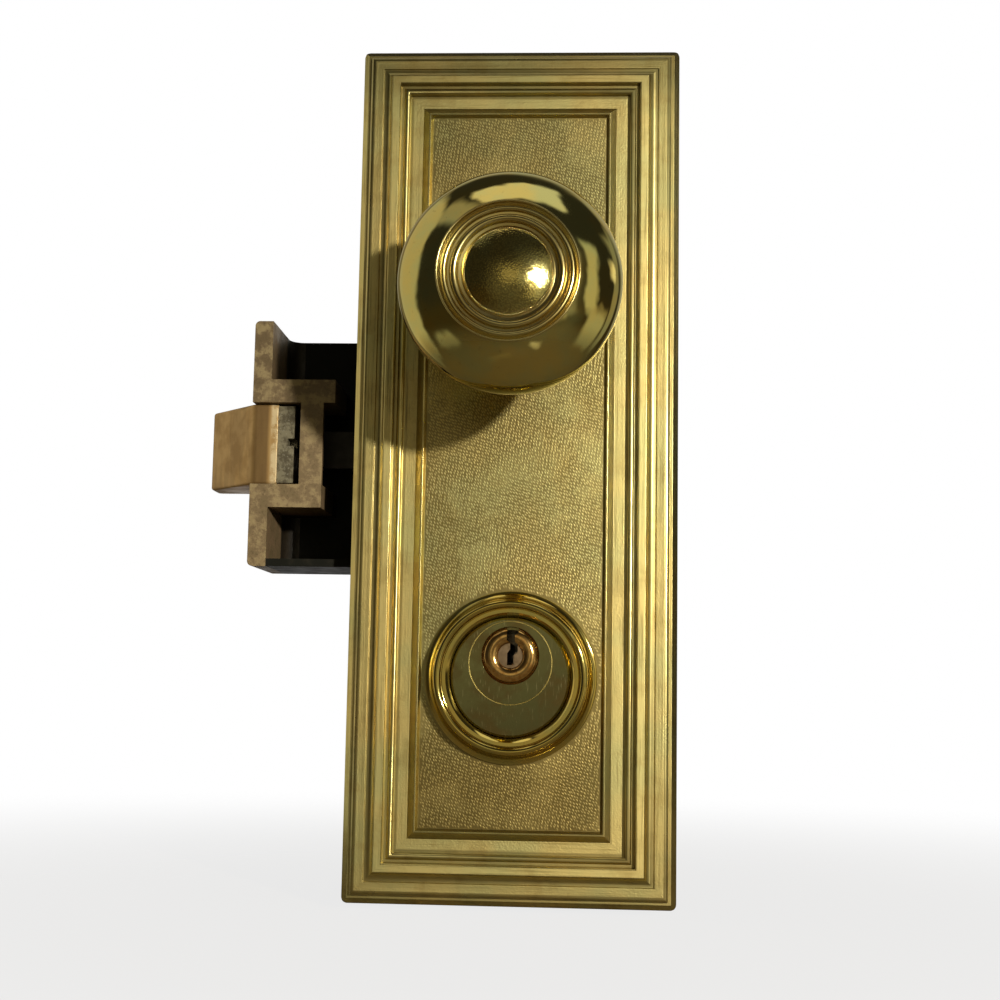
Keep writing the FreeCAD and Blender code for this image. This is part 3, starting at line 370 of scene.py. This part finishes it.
# The field's chased strokes: low lenses in staggered rows that lean to the left, from the border up to
# the collar and the bush.
stroke_w, stroke_l, stroke_rise, stroke_lean = 0.52 * mm, 1.18 * mm, 0.05 * mm, radians(34)
stroke_sunk, stroke_clear = 0.004 * mm, 0.6 * mm
field_inset = 19.1 * mm
field_half_w, field_half_h = plate_half_w - field_inset, plate_half_h - field_inset
reach = 2 * sqrt(field_half_w ** 2 + field_half_h ** 2)
columns, rows = int(reach / stroke_w), int(reach / stroke_l)
tree = bpy.data.node_groups.new("chased_strokes", "GeometryNodeTree")
tree.interface.new_socket("Metal", in_out="INPUT", socket_type="NodeSocketMaterial")
tree.interface.new_socket("Geometry", in_out="OUTPUT", socket_type="NodeSocketGeometry")
grid = add_any(tree, "GeometryNodeMeshGrid", {
    "Size X": columns * stroke_w, "Size Y": rows * stroke_l,
    "Vertices X": columns + 1, "Vertices Y": rows + 1})
index = add_any(tree, "GeometryNodeInputIndex").outputs[0]
column = maths(tree, "FLOOR", maths(tree, "DIVIDE", index, rows + 1.0))
odd = maths(tree, "MODULO", column, 2.0)
stagger = add_node(tree, "CombineXYZ", {1: maths(tree, "MULTIPLY", odd, stroke_l / 2)}).outputs[0]
chance = add_any(tree, "FunctionNodeRandomValue", {
    0: (-0.10 * mm, -0.22 * mm, 0), 1: (0.10 * mm, 0.22 * mm, 0)}, data_type="FLOAT_VECTOR").outputs[0]
shift = add_node(tree, "VectorMath", {0: stagger, 1: chance}, operation="ADD").outputs[0]
moved = add_any(tree, "GeometryNodeSetPosition", {"Geometry": grid.outputs["Mesh"], "Offset": shift})
leant = add_any(tree, "GeometryNodeTransform", {"Geometry": moved.outputs[0],
                                                "Rotation": (0, 0, stroke_lean)})
spot = add_any(tree, "GeometryNodeInputPosition").outputs[0]
x, z, _ = add_node(tree, "SeparateXYZ", {0: spot}).outputs
gone = maths(tree, "MAXIMUM", maths(tree, "GREATER_THAN", maths(tree, "ABSOLUTE", x), field_half_w),
             maths(tree, "GREATER_THAN", maths(tree, "ABSOLUTE", z), field_half_h))
for node in ("cylinder_collar", "knob_bush"):
    low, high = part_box(node)
    off = add_node(tree, "VectorMath", {0: spot, 1: (0, (low.z + high.z) / 2, 0)}, operation="DISTANCE")
    gone = maths(tree, "MAXIMUM", gone, maths(tree, "LESS_THAN", off.outputs["Value"],
                                              (high.x - low.x) / 2 + stroke_clear))
kept = add_any(tree, "GeometryNodeDeleteGeometry", {"Geometry": leant.outputs[0], "Selection": gone},
               domain="POINT")
lens = add_any(tree, "GeometryNodeMeshCone", {"Vertices": 6, "Radius Top": 0.0, "Radius Bottom": 1.0,
                                              "Depth": 1.0}, fill_type="NONE")
soft_lens = add_any(tree, "GeometryNodeSetShadeSmooth", {"Geometry": lens.outputs["Mesh"]})
swing = maths(tree, "MULTIPLY", maths(tree, "SUBTRACT", grain(tree, spot, 18 * mm, 1.0), 0.5), 1.2)
swing = maths(tree, "ADD", swing, stroke_lean)
size = add_any(tree, "FunctionNodeRandomValue", {
    0: (stroke_w * 0.44, stroke_l * 0.46, stroke_rise * 0.8),
    1: (stroke_w * 0.56, stroke_l * 0.62, stroke_rise * 1.3), "Seed": 3},
    data_type="FLOAT_VECTOR").outputs[0]
strokes = add_any(tree, "GeometryNodeInstanceOnPoints", {
    "Points": kept.outputs[0], "Instance": soft_lens.outputs[0], "Scale": size,
    "Rotation": add_node(tree, "CombineXYZ", {2: swing}).outputs[0]})
real = add_any(tree, "GeometryNodeRealizeInstances", {"Geometry": strokes.outputs[0]})
clad = add_any(tree, "GeometryNodeSetMaterial", {
    "Geometry": real.outputs[0], "Material": add_any(tree, "NodeGroupInput").outputs[0]})
tree.links.new(clad.outputs[0], add_any(tree, "NodeGroupOutput").inputs[0])


def grow(name, tree, place, body, **inputs):
    # Runs a tree on an empty mesh and turns what it makes into a plain mesh at that place.
    holder = bpy.data.objects.new(name, bpy.data.meshes.new(name))
    scene.collection.objects.link(holder)
    growth = holder.modifiers.new(name, "NODES")
    growth.node_group = tree
    for socket in tree.interface.items_tree:
        if socket.in_out == "INPUT" and socket.name in inputs:
            growth[socket.identifier] = inputs[socket.name]
    made = settled(holder)
    made.name = name
    made.transform(place)
    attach(holder, body)
    return holder


upright = Matrix.Rotation(pi / 2, 4, "X")
chasing = grow("chased_strokes", tree, Matrix.Translation((0, field_y + stroke_sunk, 0)) @ upright, "lock",
               Metal=plate_metal)


# Bush
# A turned brass bearing pressed through the plate, its flange polished.
def scratches(tree, place, scale, turn=(0, 0, 0), detail=2.0):
    # Noise drawn out into fine lines; scale is how many there are to a metre along each turned axis.
    turned = add_node(tree, "Mapping", {"Vector": place, "Rotation": turn, "Scale": scale}).outputs[0]
    return add_node(tree, "TexNoise", {"Vector": turned, "Scale": 1.0, "Detail": detail}).outputs["Fac"]


def turned_brass(name, smooth, dull):
    # Turned and lacquered brass with faint scuffs, its roughness between the two values.
    made, tree, place = new_material(name)
    smear = grain(tree, place, 9 * mm, 4.0, 0.6)
    scuffs = scratches(tree, place, (2600, 300, 300), (0.3, 0.7, 0.2))
    tone = mix_colours(tree, fade(tree, smear, 0.40, 0.64), shade(212, 184, 100), shade(198, 182, 108))
    spots = fade(tree, grain(tree, place, 2.2 * mm, 3.0), 0.62, 0.75)
    tone = tint(tree, tone, spots, 0.35, brass_brown_and_shade)
    rough = fade(tree, smear, 0.35, 0.7, smooth, dull)
    finish_metal(tree, tone, rough, bumps(tree, scuffs, 0.004 * mm, 0.35))
    return made


polished_brass = turned_brass("polished_brass", 0.05, 0.13)
finished_copy("knob_bush", "lock", polished_brass, 0)


def lathe(name, profile, axis_z, body, material, nodes, segments):
    # A closed profile of (radius, y) turned about an axis along Y. Sharp corners stay sharp.
    shape = bmesh.new()
    rings = []
    for radius, y in profile:
        if radius < 1e-7:
            rings.append([shape.verts.new((0, y, axis_z))])
        else:
            rings.append([shape.verts.new((radius * cos(2 * pi * i / segments), y,
                                           axis_z + radius * sin(2 * pi * i / segments)))
                          for i in range(segments)])
    closed = len(rings[0]) > 1 and len(rings[-1]) > 1
    pairs = list(zip(rings, rings[1:] + (rings[:1] if closed else [])))
    for a, b in pairs:
        for i in range(segments):
            j = (i + 1) % segments
            loop = []
            for vert in (a[i % len(a)], a[j % len(a)], b[j % len(b)], b[i % len(b)]):
                if vert not in loop:
                    loop.append(vert)
            if len(loop) > 2:
                shape.faces.new(loop)
    bmesh.ops.recalc_face_normals(shape, faces=shape.faces)
    mesh = bpy.data.meshes.new(name)
    shape.to_mesh(mesh)
    shape.free()
    mesh.shade_smooth()
    mesh.set_sharp_from_angle(angle=radians(28))
    mesh.materials.append(material)
    piece = bpy.data.objects.new(name, mesh)
    scene.collection.objects.link(piece)
    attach(piece, body)
    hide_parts(*nodes)
    return piece


def arc(centre, radius, start, end, steps):
    # Points on a circle of the profile; angles in degrees, 0 outwards and 90 into the door.
    return [(centre[0] + radius * cos(radians(start + (end - start) * i / steps)),
             centre[1] + radius * sin(radians(start + (end - start) * i / steps))) for i in range(steps + 1)]


# Knob
# A hollow spun brass ball, flattened and highly polished, closed at the back by its cast neck. Turned
# rings stand round a stippled dome on its front.
knob_low, knob_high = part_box("knob")
knob_r = (knob_high.x - knob_low.x) / 2
knob_axis_z = (knob_high.z + knob_low.z) / 2
knob_y = -43.7 * mm
rim_r, front_l, front_turn = 16.3 * mm, 10.8 * mm, 8.0 * mm
neck_r, back_l, back_turn = 12.0 * mm, 17.0 * mm, 14.0 * mm
knob_wall = 1.8 * mm


def knob_side(turn, end_r, end_l, way):
    # Two tangent arcs from the widest circle to (end_r, end_l) in front of it or behind it.
    out = end_r - (knob_r - turn)
    flat = (out ** 2 + end_l ** 2 - turn ** 2) / (2 * (turn - (out + end_l) * sqrt(0.5)))
    shift = flat * sqrt(0.5)
    last = degrees(atan2(end_l + shift, end_r - (knob_r - turn - shift)))
    wide = arc((knob_r - turn, knob_y), turn, 0, way * 45, 16)
    long = arc((knob_r - turn - shift, knob_y - way * shift), turn + flat, way * 45, way * last, 40)
    return wide + long[1:]


front_y = knob_y - front_l
dome_r, dome_rise, dome_sunk = 9.9 * mm, 2.2 * mm, 0.8 * mm
dome_edge_y = front_y + dome_sunk
dome_ball = (dome_r ** 2 + dome_rise ** 2) / (2 * dome_rise)
profile = knob_side(back_turn, neck_r, back_l, 1)[::-1] + knob_side(front_turn, rim_r, front_l, -1)[1:]
# Each turned ring in millimetres: its radius, depth and bead, the bead's first and last angle and its
# steps, then the points (radius, depth) of the groove inside it.
for ring_r, sunk, bead_r, first, last, steps, groove in (
        (16.05, 0.02, 0.26, -20, -165, 6, ((15.65, 0.45), (15.3, 0.75))),
        (14.5, 0.75, 0.66, -12, -170, 12, ((13.7, 0.95), (13.25, 1.0))),
        (12.25, 0.95, 0.90, -6, -172, 14, ((11.2, 1.15), (10.6, 1.25)))):
    profile += arc((ring_r * mm, front_y + sunk * mm), bead_r * mm, first, last, steps)
    profile += [(radius * mm, front_y + depth * mm) for radius, depth in groove]
profile += [(dome_r + 0.3 * mm, front_y + 1.1 * mm)]
dome_centre = dome_edge_y - dome_rise + dome_ball
profile += arc((0, dome_centre), dome_ball, degrees(asin(dome_r / dome_ball)) - 90, -90, 24)
inside_y = front_y + 3.0 * mm
profile += [(0, inside_y), (rim_r - knob_wall, inside_y)]
profile += arc((knob_r - front_turn, knob_y), front_turn - knob_wall, -45, 0, 12)
profile += arc((knob_r - back_turn, knob_y), back_turn - knob_wall, 0, 45, 12)[1:]
profile += [(neck_r, knob_y + back_l - knob_wall)]


def off_axis(tree, x, z, axis_z):
    # The distance from an axis along Y at that height.
    across, upwards = maths(tree, "POWER", x, 2.0), maths(tree, "SUBTRACT", z, axis_z)
    return maths(tree, "SQRT", maths(tree, "ADD", across, maths(tree, "POWER", upwards, 2.0)))


knob_metal, tree, place = new_material("knob_brass")
x, y, z = add_node(tree, "SeparateXYZ", {0: place}).outputs
radius = off_axis(tree, x, z, knob_axis_z)
on_front = fade(tree, y, front_y + 3 * mm, front_y + 2 * mm)
on_dome = maths(tree, "MULTIPLY", fade(tree, radius, dome_r, dome_r - 0.3 * mm), on_front)
on_rings = maths(tree, "MULTIPLY", fade(tree, radius, 16.6 * mm, 16.2 * mm), on_front)
on_rings = maths(tree, "SUBTRACT", on_rings, on_dome)
stipple = add_node(tree, "TexVoronoi", {"Vector": place, "Scale": 1 / (0.36 * mm), "Randomness": 1.0},
                   feature="SMOOTH_F1").outputs["Distance"]
smear = grain(tree, place, 12 * mm, 4.0, 0.6)
scuffs = scratches(tree, place, (2200, 260, 260), (0.2, 0.9, 0.4))
tone = mix_colours(tree, fade(tree, smear, 0.38, 0.64), shade(206, 184, 108), shade(190, 184, 120))
specks = fade(tree, grain(tree, place, 1.1 * mm, 3.0), 0.64, 0.74)
tone = tint(tree, tone, specks, 0.4, brass_brown_and_shade)
tone = tint(tree, tone, fade(tree, stipple, 0.25, 0.55, 0.0, 0.3), on_dome, tarnish_and_shade)
tone = tint(tree, tone, on_rings, 0.45, shade(170, 144, 100))
rough = fade(tree, smear, 0.35, 0.7, 0.035, 0.09)
rough = maths(tree, "ADD", rough, maths(tree, "MULTIPLY", on_dome, 0.07))
rough = maths(tree, "ADD", rough, maths(tree, "MULTIPLY", on_rings, 0.15))
pits = maths(tree, "MULTIPLY", maths(tree, "SUBTRACT", 1.0, stipple), on_dome)
dents = bumps(tree, grain(tree, place, 14 * mm, 1.0), 0.30 * mm, 0.25, bumps(tree, pits, 0.034 * mm))
finish_metal(tree, tone, rough, bumps(tree, scuffs, 0.003 * mm, 0.3, dents))
knob = lathe("knob_ball", profile, knob_axis_z, "knob_turning", knob_metal, ["knob"], 224)

# A fine beaded line runs round the dome's edge.
bead_count, bead_size, bead_out, bead_sunk = 118, 0.24 * mm, 0.02 * mm, 0.08 * mm
tree = bpy.data.node_groups.new("beaded_line", "GeometryNodeTree")
for name, kind in (("Radius", "NodeSocketFloat"), ("Count", "NodeSocketInt"), ("Bead", "NodeSocketFloat"),
                   ("Metal", "NodeSocketMaterial")):
    tree.interface.new_socket(name, in_out="INPUT", socket_type=kind)
tree.interface.new_socket("Geometry", in_out="OUTPUT", socket_type="NodeSocketGeometry")
given = add_any(tree, "NodeGroupInput").outputs
circle = add_any(tree, "GeometryNodeMeshCircle", {"Vertices": given["Count"], "Radius": given["Radius"]})
bead = add_any(tree, "GeometryNodeMeshIcoSphere", {"Radius": given["Bead"], "Subdivisions": 2})
round_bead = add_any(tree, "GeometryNodeSetShadeSmooth", {"Geometry": bead.outputs["Mesh"]})
beads = add_any(tree, "GeometryNodeInstanceOnPoints", {"Points": circle.outputs[0],
                                                       "Instance": round_bead.outputs[0]})
real = add_any(tree, "GeometryNodeRealizeInstances", {"Geometry": beads.outputs[0]})
clad = add_any(tree, "GeometryNodeSetMaterial", {"Geometry": real.outputs[0], "Material": given["Metal"]})
tree.links.new(clad.outputs[0], add_any(tree, "NodeGroupOutput").inputs[0])
line = grow("dome_beads", tree, Matrix.Translation((0, dome_edge_y + bead_sunk, knob_axis_z)) @ upright,
            "knob_turning", Radius=dome_r + bead_out, Count=bead_count, Bead=bead_size, Metal=knob_metal)


# Knob shank
# The cast brass neck behind the ball, turned and polished; it runs in the bush and takes the spindle.
finished_copy("knob_shank", "knob_turning", polished_brass, 0)


# Steel fixings
# Zinc plated screws, nuts, rings and levers, dull and a little stained with oil.
def cover(material, *nodes):
    # Gives one material to CAD nodes that show their own mesh.
    for node in nodes:
        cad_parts[node].data.materials.clear()
        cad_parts[node].data.materials.append(material)


plain_steel, tree, place = new_material("plain_steel")
stain = grain(tree, place, 6 * mm, 4.0, 0.6)
tone = mix_colours(tree, fade(tree, stain, 0.40, 0.66), shade(172, 172, 164), shade(112, 106, 92))
scratch = scratches(tree, place, (300, 300, 4200))
finish_metal(tree, tone, fade(tree, stain, 0.35, 0.65, 0.28, 0.46), bumps(tree, scratch, 0.012 * mm, 0.5))
cover(plain_steel, "knob_set_screw", "shank_ring", "spindle", "bush_nut", "mounting_posts", "case_posts",
      "plate_spacers", "lever_stud", "bracket_rivets", "spring_bracket", "cylinder_set_screw",
      "case_screws", "front_screws", "cylinder_cam", "cam_screws", "key_lever", "spring_pin",
      "spring_washer", "bolt_pins")


# Latch spring
# A coil of steel wire round the latch's tail, between the washer on the tail and its fixed bracket. It
# shortens as the latch is drawn, but here it keeps its form and gets a mesh of its own.
spring = finished_copy("latch_spring", "lock", plain_steel, 0, 60)
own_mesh(spring)


# Collar
# A turned brass ring seated on the plate round the cylinder: a coved outside, a bead, and a funnel
# that runs down to the cylinder's face.
collar_low, collar_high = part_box("cylinder_collar")
collar_r = (collar_high.x - collar_low.x) / 2
collar_z = (collar_high.z + collar_low.z) / 2
collar_top = collar_low.y
bore_r, spigot_r, cove_r, cove_l = 14.66 * mm, 16.36 * mm, 19.02 * mm, 3.9 * mm
cove_y = collar_top + 1.9 * mm
profile = [(spigot_r, collar_high.y), (bore_r, collar_high.y), (bore_r, collar_top + 1.95 * mm)]
profile += arc((bore_r + 0.5 * mm, collar_top + 1.75 * mm), 0.35 * mm, 180, 250, 4)
profile += [(15.9 * mm, collar_top + 0.60 * mm), (16.75 * mm, collar_top + 0.58 * mm),
            (16.95 * mm, collar_top + 0.95 * mm)]
profile += arc((18.1 * mm, collar_top + 1.04 * mm), 1.02 * mm, -172, -8, 14)
profile += [(19.18 * mm, collar_top + 1.45 * mm), (cove_r, cove_y)]
for step in range(1, 13):
    sweep = pi / 2 * step / 12
    profile.append((collar_r - (collar_r - cove_r) * cos(sweep), cove_y + cove_l * sin(sweep)))
profile += [(collar_r, field_y), (spigot_r, field_y)]
collar_brass = turned_brass("collar_brass", 0.05, 0.11)
lathe("turned_collar", profile, collar_z, "lock", collar_brass, ["cylinder_collar"], 192)


# Cylinder
# The cylinder's brass body fills the collar, its face fine turned and dulled, with a scribed circle.
# It screws into the ring of the case.
cylinder_brass, tree, place = new_material("cylinder_brass")
scribe_r, scribe_z = 10.2 * mm, collar_z + 3.5 * mm
dull = grain(tree, place, 8 * mm, 4.0, 0.6)
marks = scratches(tree, place, (3600, 200, 380), (0, 0.6, 0), 3.0)
tone = mix_colours(tree, fade(tree, dull, 0.38, 0.64), shade(134, 130, 88), shade(122, 106, 66))
tone = tint(tree, tone, fade(tree, marks, 0.60, 0.74), 0.5, shade(222, 212, 166))
x, _, z = add_node(tree, "SeparateXYZ", {0: place}).outputs
off_scribe = maths(tree, "ABSOLUTE", maths(tree, "SUBTRACT", off_axis(tree, x, z, scribe_z), scribe_r))
scribed = fade(tree, off_scribe, 0.17 * mm, 0.08 * mm)
tone = mix_colours(tree, scribed, tone, shade(205, 192, 142))
rough = maths(tree, "ADD", fade(tree, dull, 0.35, 0.66, 0.14, 0.24), maths(tree, "MULTIPLY", scribed, 0.16))
finish_metal(tree, tone, rough, bumps(tree, marks, 0.008 * mm, 0.5))
finished_copy("cylinder_shell", "lock", cylinder_brass, 0.20 * mm)
cover(cylinder_brass, "cylinder_ring")


# Plug
# The turning plug: a polished nose ring, redder than the cylinder, worn pale round the zigzag keyway.
plug_metal, tree, place = new_material("plug_brass")
plug_low, plug_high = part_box("cylinder_plug")
plug_z = (plug_high.z + plug_low.z) / 2
x, _, z = add_node(tree, "SeparateXYZ", {0: place}).outputs
flat = fade(tree, off_axis(tree, x, z, plug_z), 3.6 * mm, 2.8 * mm)
rub = grain(tree, place, 1.4 * mm, 4.0, 0.6)
tone = mix_colours(tree, fade(tree, rub, 0.40, 0.62), shade(222, 178, 112), shade(196, 146, 84))
tone = mix_colours(tree, flat, tone, shade(140, 118, 92))
rough = maths(tree, "ADD", fade(tree, rub, 0.35, 0.65, 0.08, 0.17), maths(tree, "MULTIPLY", flat, 0.22))
finish_metal(tree, tone, rough, bumps(tree, rub, 0.03 * mm, 0.5))
nose_y, step_y = plug_low.y, plug_low.y + 3.35 * mm
# The nose swells from its flat middle to a crest and falls away to the plug's body.
crest_r, inner_w, inner_l, outer_w, outer_l = 4.8 * mm, 1.7 * mm, 0.9 * mm, 1.85 * mm, 1.2 * mm
body_r, core_r = 7.05 * mm, 6.35 * mm
sweeps = [pi / 2 * step / 8 for step in range(1, 9)]
profile = [(0, nose_y + inner_l), (3.0 * mm, nose_y + inner_l)]
profile += [(crest_r - inner_w * cos(s), nose_y + inner_l - inner_l * sin(s)) for s in sweeps]
profile += [(crest_r + outer_w * sin(s), nose_y + outer_l - outer_l * cos(s)) for s in sweeps]
profile += [(body_r, nose_y + 1.55 * mm), (body_r, step_y), (core_r, step_y),
            (core_r, plug_high.y), (0, plug_high.y)]
plug = lathe("turned_plug", profile, plug_z, "plug", plug_metal, ["cylinder_plug"], 128)

# The keyway, in millimetres from the plug's axis, as a cutter right through the plug.
keyway = [(-0.9, 8.0), (-0.9, 3.8), (-0.1, 3.1), (-0.1, 1.6), (-0.8, 0.6), (-0.8, -2.3), (0.8, -2.3),
          (0.8, 0.1), (1.8, 1.0), (1.8, 2.8), (1.1, 3.4), (1.1, 5.0), (2.0, 5.5), (2.0, 8.0)]
past_end = 1 * mm
shape = bmesh.new()
outline = [shape.verts.new((x * mm, plug_low.y - past_end, plug_z + z * mm)) for x, z in keyway]
side = shape.faces.new(outline)
far = bmesh.ops.extrude_face_region(shape, geom=[side])["geom"]
bmesh.ops.translate(shape, vec=(0, plug_high.y - plug_low.y + 2 * past_end, 0),
                    verts=[g for g in far if isinstance(g, bmesh.types.BMVert)])
bmesh.ops.recalc_face_normals(shape, faces=shape.faces)
cutter_mesh = bpy.data.meshes.new("keyway")
shape.to_mesh(cutter_mesh)
shape.free()
cutter = bpy.data.objects.new("keyway", cutter_mesh)
scene.collection.objects.link(cutter)
cut = plug.modifiers.new("keyway", "BOOLEAN")
cut.object = cutter
cut.solver = "EXACT"
settled(plug)
bpy.data.objects.remove(cutter)
cover(plug_metal, "key_pins", "driver_pins", "chamber_caps")


# Case
# The lock case: bent steel sheet, black japanned, with patches of brown dust. Its cover is held by the
# long screws.
case_paint, tree, place = new_material("black_japan")
dust = grain(tree, place, 7 * mm, 5.0, 0.65)
tone = mix_colours(tree, fade(tree, dust, 0.50, 0.72), (0.010, 0.010, 0.007, 1), (0.022, 0.019, 0.013, 1))
finish_metal(tree, tone, fade(tree, dust, 0.35, 0.70, 0.45, 0.62), bumps(tree, dust, 0.10 * mm, 0.4), 0.0,
             Specular_IOR_Level=0.08)
cover(case_paint, "case", "case_cover")


# Front
# A bronze casting: the lock's front in the edge of the door, with the arms and the cross bar that house
# the bolt. Its patina is brown and rubbed tan on the near edges; painted shade darkens its upper part and
# makes it nearly black inside the case.
front_bronze, tree, place = new_material("patinated_bronze")
front_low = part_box("front")[0]
x, y, z = add_node(tree, "SeparateXYZ", {0: place}).outputs
mottle = grain(tree, place, 4 * mm, 6.0, 0.7)
pitting = grain(tree, place, 0.8 * mm, 4.0, 0.65)
patina_and_shade = shade(88, 72, 50)
tone = mix_colours(tree, fade(tree, mottle, 0.38, 0.62), shade(124, 106, 76), shade(132, 108, 80))
tone = tint(tree, tone, fade(tree, pitting, 0.50, 0.66), 0.45, patina_and_shade)
# Painted shade: the upper part darkens towards its top, in place of the knob's shadow.
tone = mix_colours(tree, fade(tree, z, 8 * mm, 26 * mm, 0.0, 0.50), tone, patina_and_shade)
rubbed = maths(tree, "MULTIPLY", fade(tree, y, front_low.y + 1.2 * mm, front_low.y + 0.2 * mm),
               fade(tree, mottle, 0.46, 0.60))
tone = tint(tree, tone, rubbed, 0.5, shade(172, 154, 108))
# Painted shade: deep inside the case the front is painted nearly black.
inside = maths(tree, "MULTIPLY", fade(tree, y, front_low.y + 19 * mm, front_low.y + 21 * mm),
               fade(tree, x, front_low.x + 4.0 * mm, front_low.x + 4.8 * mm))
tone = tint(tree, tone, inside, 0.92, shade(20, 18, 13))
rough = fade(tree, mottle, 0.35, 0.65, 0.42, 0.58)
finish_metal(tree, tone, rough, bumps(tree, pitting, 0.07 * mm, 0.7), 0.3)
finished_copy("front", "lock", front_bronze, 0.55 * mm)


# Latch bolt
# The bevelled head of the latch, satin bronze, held to the tail by two pins. Painted shade darkens its
# flat side, and a painted highlight runs along its rear edge.
bolt_bronze, tree, place = new_material("satin_bronze")
bolt_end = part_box("latch_bolt")[1].x
x = add_node(tree, "SeparateXYZ", {0: place}).outputs["X"]
cloud = grain(tree, place, 6 * mm, 4.0, 0.6)
drawn = scratches(tree, place, (260, 260, 40), detail=3.0)
tone = mix_colours(tree, fade(tree, cloud, 0.40, 0.62), shade(206, 166, 106), shade(190, 150, 92))
tone = tint(tree, tone, fade(tree, drawn, 0.46, 0.62), 0.30, shade(122, 92, 56))
# Painted shade: a darker band across the flat side, between the front and the rear edge.
painted_side_shade = maths(tree, "MULTIPLY", fade(tree, x, bolt_end - 7.4 * mm, bolt_end - 5.6 * mm),
             fade(tree, x, bolt_end - 1.7 * mm, bolt_end - 2.9 * mm))
tone = tint(tree, tone, painted_side_shade, 0.72, shade(80, 60, 36))
# Painted highlight: a pale band along the rounded rear edge, broken up by noise.
painted_edge_highlight = maths(tree, "MULTIPLY", fade(tree, x, bolt_end - 2.1 * mm, bolt_end - 1.3 * mm),
               fade(tree, grain(tree, place, 3.0 * mm, 6.0, 0.75), 0.36, 0.54))
tone = tint(tree, tone, painted_edge_highlight, 0.8, shade(232, 210, 164))
finish_metal(tree, tone, fade(tree, cloud, 0.35, 0.65, 0.36, 0.50), bumps(tree, cloud, 0.12 * mm, 0.3), 0.4)
finished_copy("latch_bolt", "latch", bolt_bronze, 0.5 * mm)


# Latch tail
# The steel shank behind the bolt: its block fills the housing's window, dull plated and notched, and the
# flat tail runs back into the case, painted dark past the block as shade.
tail_steel, tree, place = new_material("tail_steel_painted_shade")
x = add_node(tree, "SeparateXYZ", {0: place}).outputs["X"]
film = grain(tree, place, 2.2 * mm, 5.0, 0.65)
tone = mix_colours(tree, fade(tree, film, 0.40, 0.60), shade(136, 128, 104), shade(88, 80, 62))
specks = fade(tree, grain(tree, place, 0.7 * mm, 3.0), 0.56, 0.66)
tone = tint(tree, tone, specks, 0.5, shade(158, 152, 130))
# Painted shade: past the block the tail is painted nearly black, as it lies in the case's shade.
shaded_tail = fade(tree, x, bolt_end + 4.2 * mm, bolt_end + 5.2 * mm)
tone = mix_colours(tree, shaded_tail, tone, shade(40, 34, 26))
finish_metal(tree, tone, fade(tree, film, 0.35, 0.65, 0.38, 0.52), bumps(tree, film, 0.08 * mm, 0.6), 0.4)
cover(tail_steel, "latch_tail")


# Hub
# The follower that the spindle turns: cast bronze, left rough, its arm draws the tail's lug.
hub_bronze, tree, place = new_material("cast_bronze")
sand = grain(tree, place, 1.0 * mm, 4.0, 0.65)
tone = mix_colours(tree, fade(tree, sand, 0.40, 0.62), shade(150, 120, 76), shade(104, 80, 48))
finish_metal(tree, tone, 0.5, bumps(tree, sand, 0.06 * mm, 0.7), 0.85)
cover(hub_bronze, "hub")

low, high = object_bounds()
